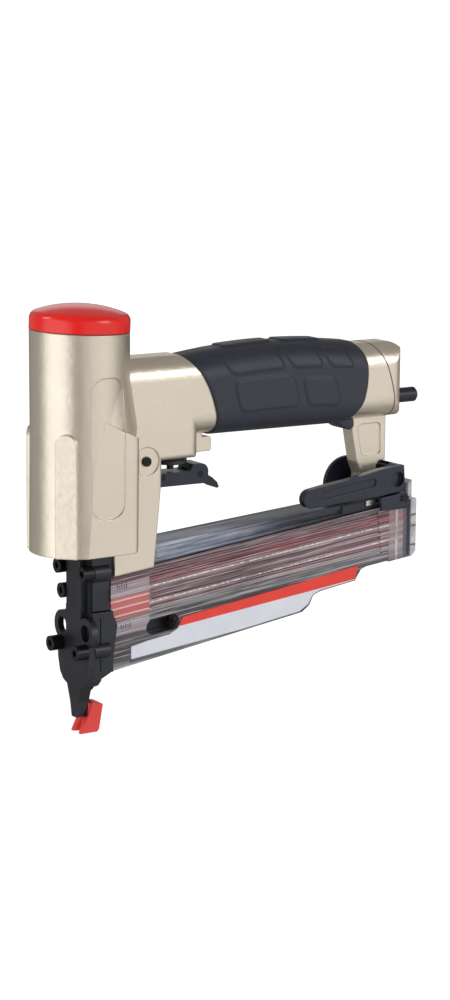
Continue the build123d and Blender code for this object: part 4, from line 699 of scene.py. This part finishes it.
GASKET_SEAM = circle_through((148.3 * MM, 170 * MM), (158.2 * MM, 152.5 * MM), (161.7 * MM, 128 * MM))
GASKET_SECTION = (13.8 * MM, 130.6 * MM, 166 * MM, 10.5 * MM)  # half width, low, high, corner
GASKET_HALF = 0.28 * MM
GASKET_STAND = 0.08 * MM
GASKET_SINK = 0.3 * MM
GASKET_COLUMNS = 160


def make_tail_gasket():
    """The dark gasket that shows as a line between the casting and the tail cap."""
    # Across the line: sunk at both edges, and just proud of the casting between them
    profile = (
        (-GASKET_HALF, -GASKET_SINK), (-0.6 * GASKET_HALF, GASKET_STAND),
        (0.6 * GASKET_HALF, GASKET_STAND), (GASKET_HALF, -GASKET_SINK),
    )
    vertices, faces = [], []
    for column in range(GASKET_COLUMNS):
        y, z, ny, nz, _ = round_section(2 * column / GASKET_COLUMNS - 1, *GASKET_SECTION)
        x = rear_arc(GASKET_SEAM, z)
        vertices += [(x + shift, y + ny * out, z + nz * out) for shift, out in profile]
    points = len(profile)
    for column in range(GASKET_COLUMNS):
        here, beside = points * column, points * ((column + 1) % GASKET_COLUMNS)
        faces += [(here + k, here + k + 1, beside + k + 1, beside + k) for k in range(points - 1)]
    piece("tail_gasket", vertices, faces, rubber_ring)


def body_of(node):
    """Name of the body that a node belongs to."""
    bodies = frame["record"]["behaviour"]["bodies"]
    return next(body for body, members in bodies.items() if node in members)


BLOCK_FACES = (
    (0, 1, 3, 2), (4, 6, 7, 5), (0, 4, 5, 1), (2, 3, 7, 6), (0, 2, 6, 4), (1, 5, 7, 3),
)


def feed_blocks(name, blocks, material, node):
    """Small blocks laid along the feed direction, moving with a node of the frame.

    A block is its range along X at the feed line, its range of height and its range of Y.
    """
    cosine, sine = math.cos(FEED_ANGLE), math.sin(FEED_ANGLE)
    vertices, faces = [], []
    for x_range, height_range, y_range in blocks:
        start = len(vertices)
        vertices += [
            (x - h * sine, y, FEED_Z + x * math.tan(FEED_ANGLE) + h * cosine)
            for x in x_range for y in y_range for h in height_range
        ]
        faces += [
            tuple(start + corner for corner in face)
            for face in BLOCK_FACES
        ]
    return piece(name, vertices, faces, material, smooth=False, body=body_of(node))


TICK_LOWS = (13.6 * MM, -4.9 * MM)
TICK_COUNT = 5
TICK_FIRST_X = 14.6 * MM
TICK_PITCH = 1.15 * MM
TICK_WIDTH = 0.32 * MM
TICK_HEIGHTS = (2.6 * MM, 1.9 * MM)
TICK_PROUD = 0.04 * MM
TICK_DEPTH = 0.2 * MM


def make_scale_marks():
    """Plain tick marks, without figures, in the two windows at the cover's front."""
    (_, _), (outer_y, _), (_, _) = extent("magazine_cover")
    depth = (outer_y - TICK_PROUD, outer_y + TICK_DEPTH)
    blocks = []
    for low in TICK_LOWS:
        for tick in range(TICK_COUNT):
            x = TICK_FIRST_X + tick * TICK_PITCH
            blocks.append(((x, x + TICK_WIDTH), (low, low + TICK_HEIGHTS[tick % 2]), depth))
    feed_blocks("scale_marks", blocks, black_plastic, "magazine_cover")


COIL_STEPS = 36
COIL_SIDES = 10
HEAD_COIL = (0.70 * MM, 2.5)  # wire radius and turns
STEM_COIL = (0.33 * MM, 3.0)


def make_coil(name, node, wire, turns, moving_body):
    """A coil spring that fills the bounds of a node, which is hidden in its place."""
    (x_low, x_high), (y_low, y_high), (z_low, z_high) = extent(node)
    middle_x, middle_y = (x_low + x_high) / 2, (y_low + y_high) / 2
    radius = (x_high - x_low) / 2 - wire
    low, high = z_low + wire, z_high - wire
    steps, sides = int(turns * COIL_STEPS), COIL_SIDES
    vertices = []
    for step in range(steps + 1):
        turn = math.tau * turns * step / steps
        z = low + (high - low) * step / steps
        for side in range(sides):
            around = math.tau * side / sides
            out = radius + wire * math.cos(around)
            x, y = middle_x + out * math.cos(turn), middle_y + out * math.sin(turn)
            vertices.append((x, y, z + wire * math.sin(around)))
    faces = [tuple(range(sides)), tuple(reversed(range(steps * sides, (steps + 1) * sides)))]
    for step in range(steps):
        for side in range(sides):
            a, b = step * sides + side, step * sides + (side + 1) % sides
            faces.append((a, a + sides, b + sides, b))
    ends = ((middle_x, middle_y, z_low), (middle_x, middle_y, z_high))
    slot = slot_of[node]
    coil = piece(
        name, vertices, faces, slot_materials[slot], between=(moving_body, "frame", *ends)
    )
    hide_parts(node)


make_grip()
make_tail_gasket()
make_scale_marks()
make_coil("head_valve_coil", "head_valve_spring", *HEAD_COIL, "head_valve")
make_coil("valve_coil", "valve_spring", *STEM_COIL, "valve_stem")


# ---------------------------------------------------------------- camera, floor and light
CAMERA_ANGLES = (33.0, 11.0, 0.35)
CAMERA_PLACE = (-0.53486, -0.94055, 0.31582)
LENS = 90.0
SENSOR_WIDTH = 36.0
NEAR, FAR = 0.05, 50.0
FLOOR_REACH = 12.0
FLOOR_GAP = 0.2 * MM
PAPER_GLOW = 0.85


def look(azimuth, elevation, roll):
    """Right, up and forward directions of a camera at those angles, in degrees."""
    a, e, t = (math.radians(v) for v in (azimuth, elevation, roll))
    forward = Vector((math.sin(a) * math.cos(e), math.cos(a) * math.cos(e), -math.sin(e)))
    right = Vector((math.cos(a), -math.sin(a), 0.0))
    up = right.cross(forward)
    return right * math.cos(t) + up * math.sin(t), up * math.cos(t) - right * math.sin(t), forward


right, up, forward = look(*CAMERA_ANGLES)
camera_data = bpy.data.cameras.new("camera")
camera_data.lens = LENS
camera_data.sensor_width = SENSOR_WIDTH
camera_data.clip_start = NEAR
camera_data.clip_end = FAR
camera = bpy.data.objects.new("camera", camera_data)
turn = Matrix((right, up, -forward)).transposed().to_4x4()
camera.matrix_world = Matrix.Translation(CAMERA_PLACE) @ turn
bpy.context.scene.collection.objects.link(camera)
bpy.context.scene.camera = camera

floor_mesh = bpy.data.meshes.new("floor")
corners = ((-1, -1), (1, -1), (1, 1), (-1, 1))
floor_mesh.from_pydata(
    [(x * FLOOR_REACH, y * FLOOR_REACH, cad_low.z - FLOOR_GAP) for x, y in corners],
    [], [(0, 1, 2, 3)],
)
floor = bpy.data.objects.new("floor", floor_mesh)
bpy.context.scene.collection.objects.link(floor)
# The paper is there for the camera only; reflections see the studio below it too
m = Build("floor_paper")
fibre = m.spread(m.noise(3.0, 2.0), 0.3, 0.7, 0.0, 1.0)
paper = m.shader(m.mix(fibre, (0.48, 0.48, 0.48), (0.50, 0.50, 0.50)), 0.9)
glow = m.add("ShaderNodeEmission")
glow.inputs["Color"].default_value = (1.0, 1.0, 1.0, 1.0)
glow.inputs["Strength"].default_value = PAPER_GLOW
path = m.add("ShaderNodeLightPath")
seen = m.math("MAXIMUM", path.outputs["Is Camera Ray"], path.outputs["Is Transmission Ray"])
lit = m.add("ShaderNodeAddShader")
m.link(paper, lit.inputs[0])
m.link(glow.outputs[0], lit.inputs[1])
choose = m.add("ShaderNodeMixShader")
m.link(seen, choose.inputs[0])
m.link(m.add("ShaderNodeBsdfTransparent").outputs[0], choose.inputs[1])
m.link(lit.outputs[0], choose.inputs[2])
floor_mesh.materials.append(m.done(choose.outputs[0]))


def toward(azimuth, elevation):
    """Direction to a lamp: azimuth 0 is straight in front of the near side, 90 its right."""
    a, e = math.radians(azimuth), math.radians(elevation)
    return (math.sin(a) * math.cos(e), -math.cos(a) * math.cos(e), math.sin(e))


class Studio:
    """World light made of a dim sky and soft round lamps in given directions."""

    def __init__(self):
        self.world = bpy.data.worlds.new("studio")
        bpy.context.scene.world = self.world
        self.world.use_nodes = True
        self.tree = self.world.node_tree
        self.tree.nodes.clear()
        self.way = self.tree.nodes.new("ShaderNodeTexCoord").outputs["Generated"]

    def node(self, kind, inputs, **settings):
        node = self.tree.nodes.new(kind)
        for key, value in settings.items():
            setattr(node, key, value)
        for key, value in inputs.items():
            if isinstance(value, bpy.types.NodeSocket):
                self.tree.links.new(value, node.inputs[key])
            else:
                node.inputs[key].default_value = value
        return node

    def lamp(self, azimuth, elevation, inner, outer, strength, tint=(1.0, 1.0, 1.0)):
        """A soft disc: full within inner degrees of its middle, nothing past outer."""
        inputs = {0: self.way, 1: toward(azimuth, elevation)}
        cosine = self.node(
            "ShaderNodeVectorMath", inputs, operation="DOT_PRODUCT"
        ).outputs["Value"]
        level = self.node(
            "ShaderNodeMapRange",
            {"Value": cosine, "From Min": math.cos(math.radians(outer)),
             "From Max": math.cos(math.radians(inner)), "To Min": 0.0, "To Max": strength},
            interpolation_type="SMOOTHSTEP",
        ).outputs["Result"]
        return self.node(
            "ShaderNodeVectorMath", {0: tint, "Scale": level}, operation="SCALE"
        ).outputs[0]

    def light(self, sky, lamps):
        """Sum the sky and the lamps; the camera itself sees plain white behind the part."""
        total = self.node(
            "ShaderNodeVectorMath", {0: sky, 1: (0.0, 0.0, 0.0)}, operation="ADD"
        ).outputs[0]
        for values in lamps:
            total = self.node(
                "ShaderNodeVectorMath", {0: total, 1: self.lamp(*values)}, operation="ADD"
            ).outputs[0]
        lit = self.node("ShaderNodeBackground", {"Color": total, "Strength": 1.0}).outputs[0]
        white = {"Color": (1.0, 1.0, 1.0, 1.0), "Strength": 1.0}
        backdrop = self.node("ShaderNodeBackground", white).outputs[0]
        path = self.node("ShaderNodeLightPath", {})
        seen = self.node(
            "ShaderNodeMath",
            {0: path.outputs["Is Camera Ray"], 1: path.outputs["Is Transmission Ray"]},
            operation="MAXIMUM",
        ).outputs[0]
        mixed = self.node("ShaderNodeMixShader", {0: seen, 1: lit, 2: backdrop}).outputs[0]
        self.node("ShaderNodeOutputWorld", {"Surface": mixed})


SKY = (0.31, 0.30, 0.29)
LAMPS = (
    # azimuth, elevation, inner and outer angle, strength (below zero: a dark card), tint
    (-84.0, -2.0, 14.0, 46.0, 1.40, (0.98, 0.99, 1.0)),
    (22.0, -6.0, 8.0, 58.0, 0.62),
    (32.0, 21.0, 6.0, 18.0, 3.3),
    (-121.0, 34.0, 6.0, 13.0, 4.0),
    (152.0, 14.0, 6.0, 16.0, 0.6),
    (142.0, -12.0, 12.0, 48.0, -0.22),
)
Studio().light(SKY, LAMPS)

scene = bpy.context.scene
scene.view_settings.view_transform = "Standard"
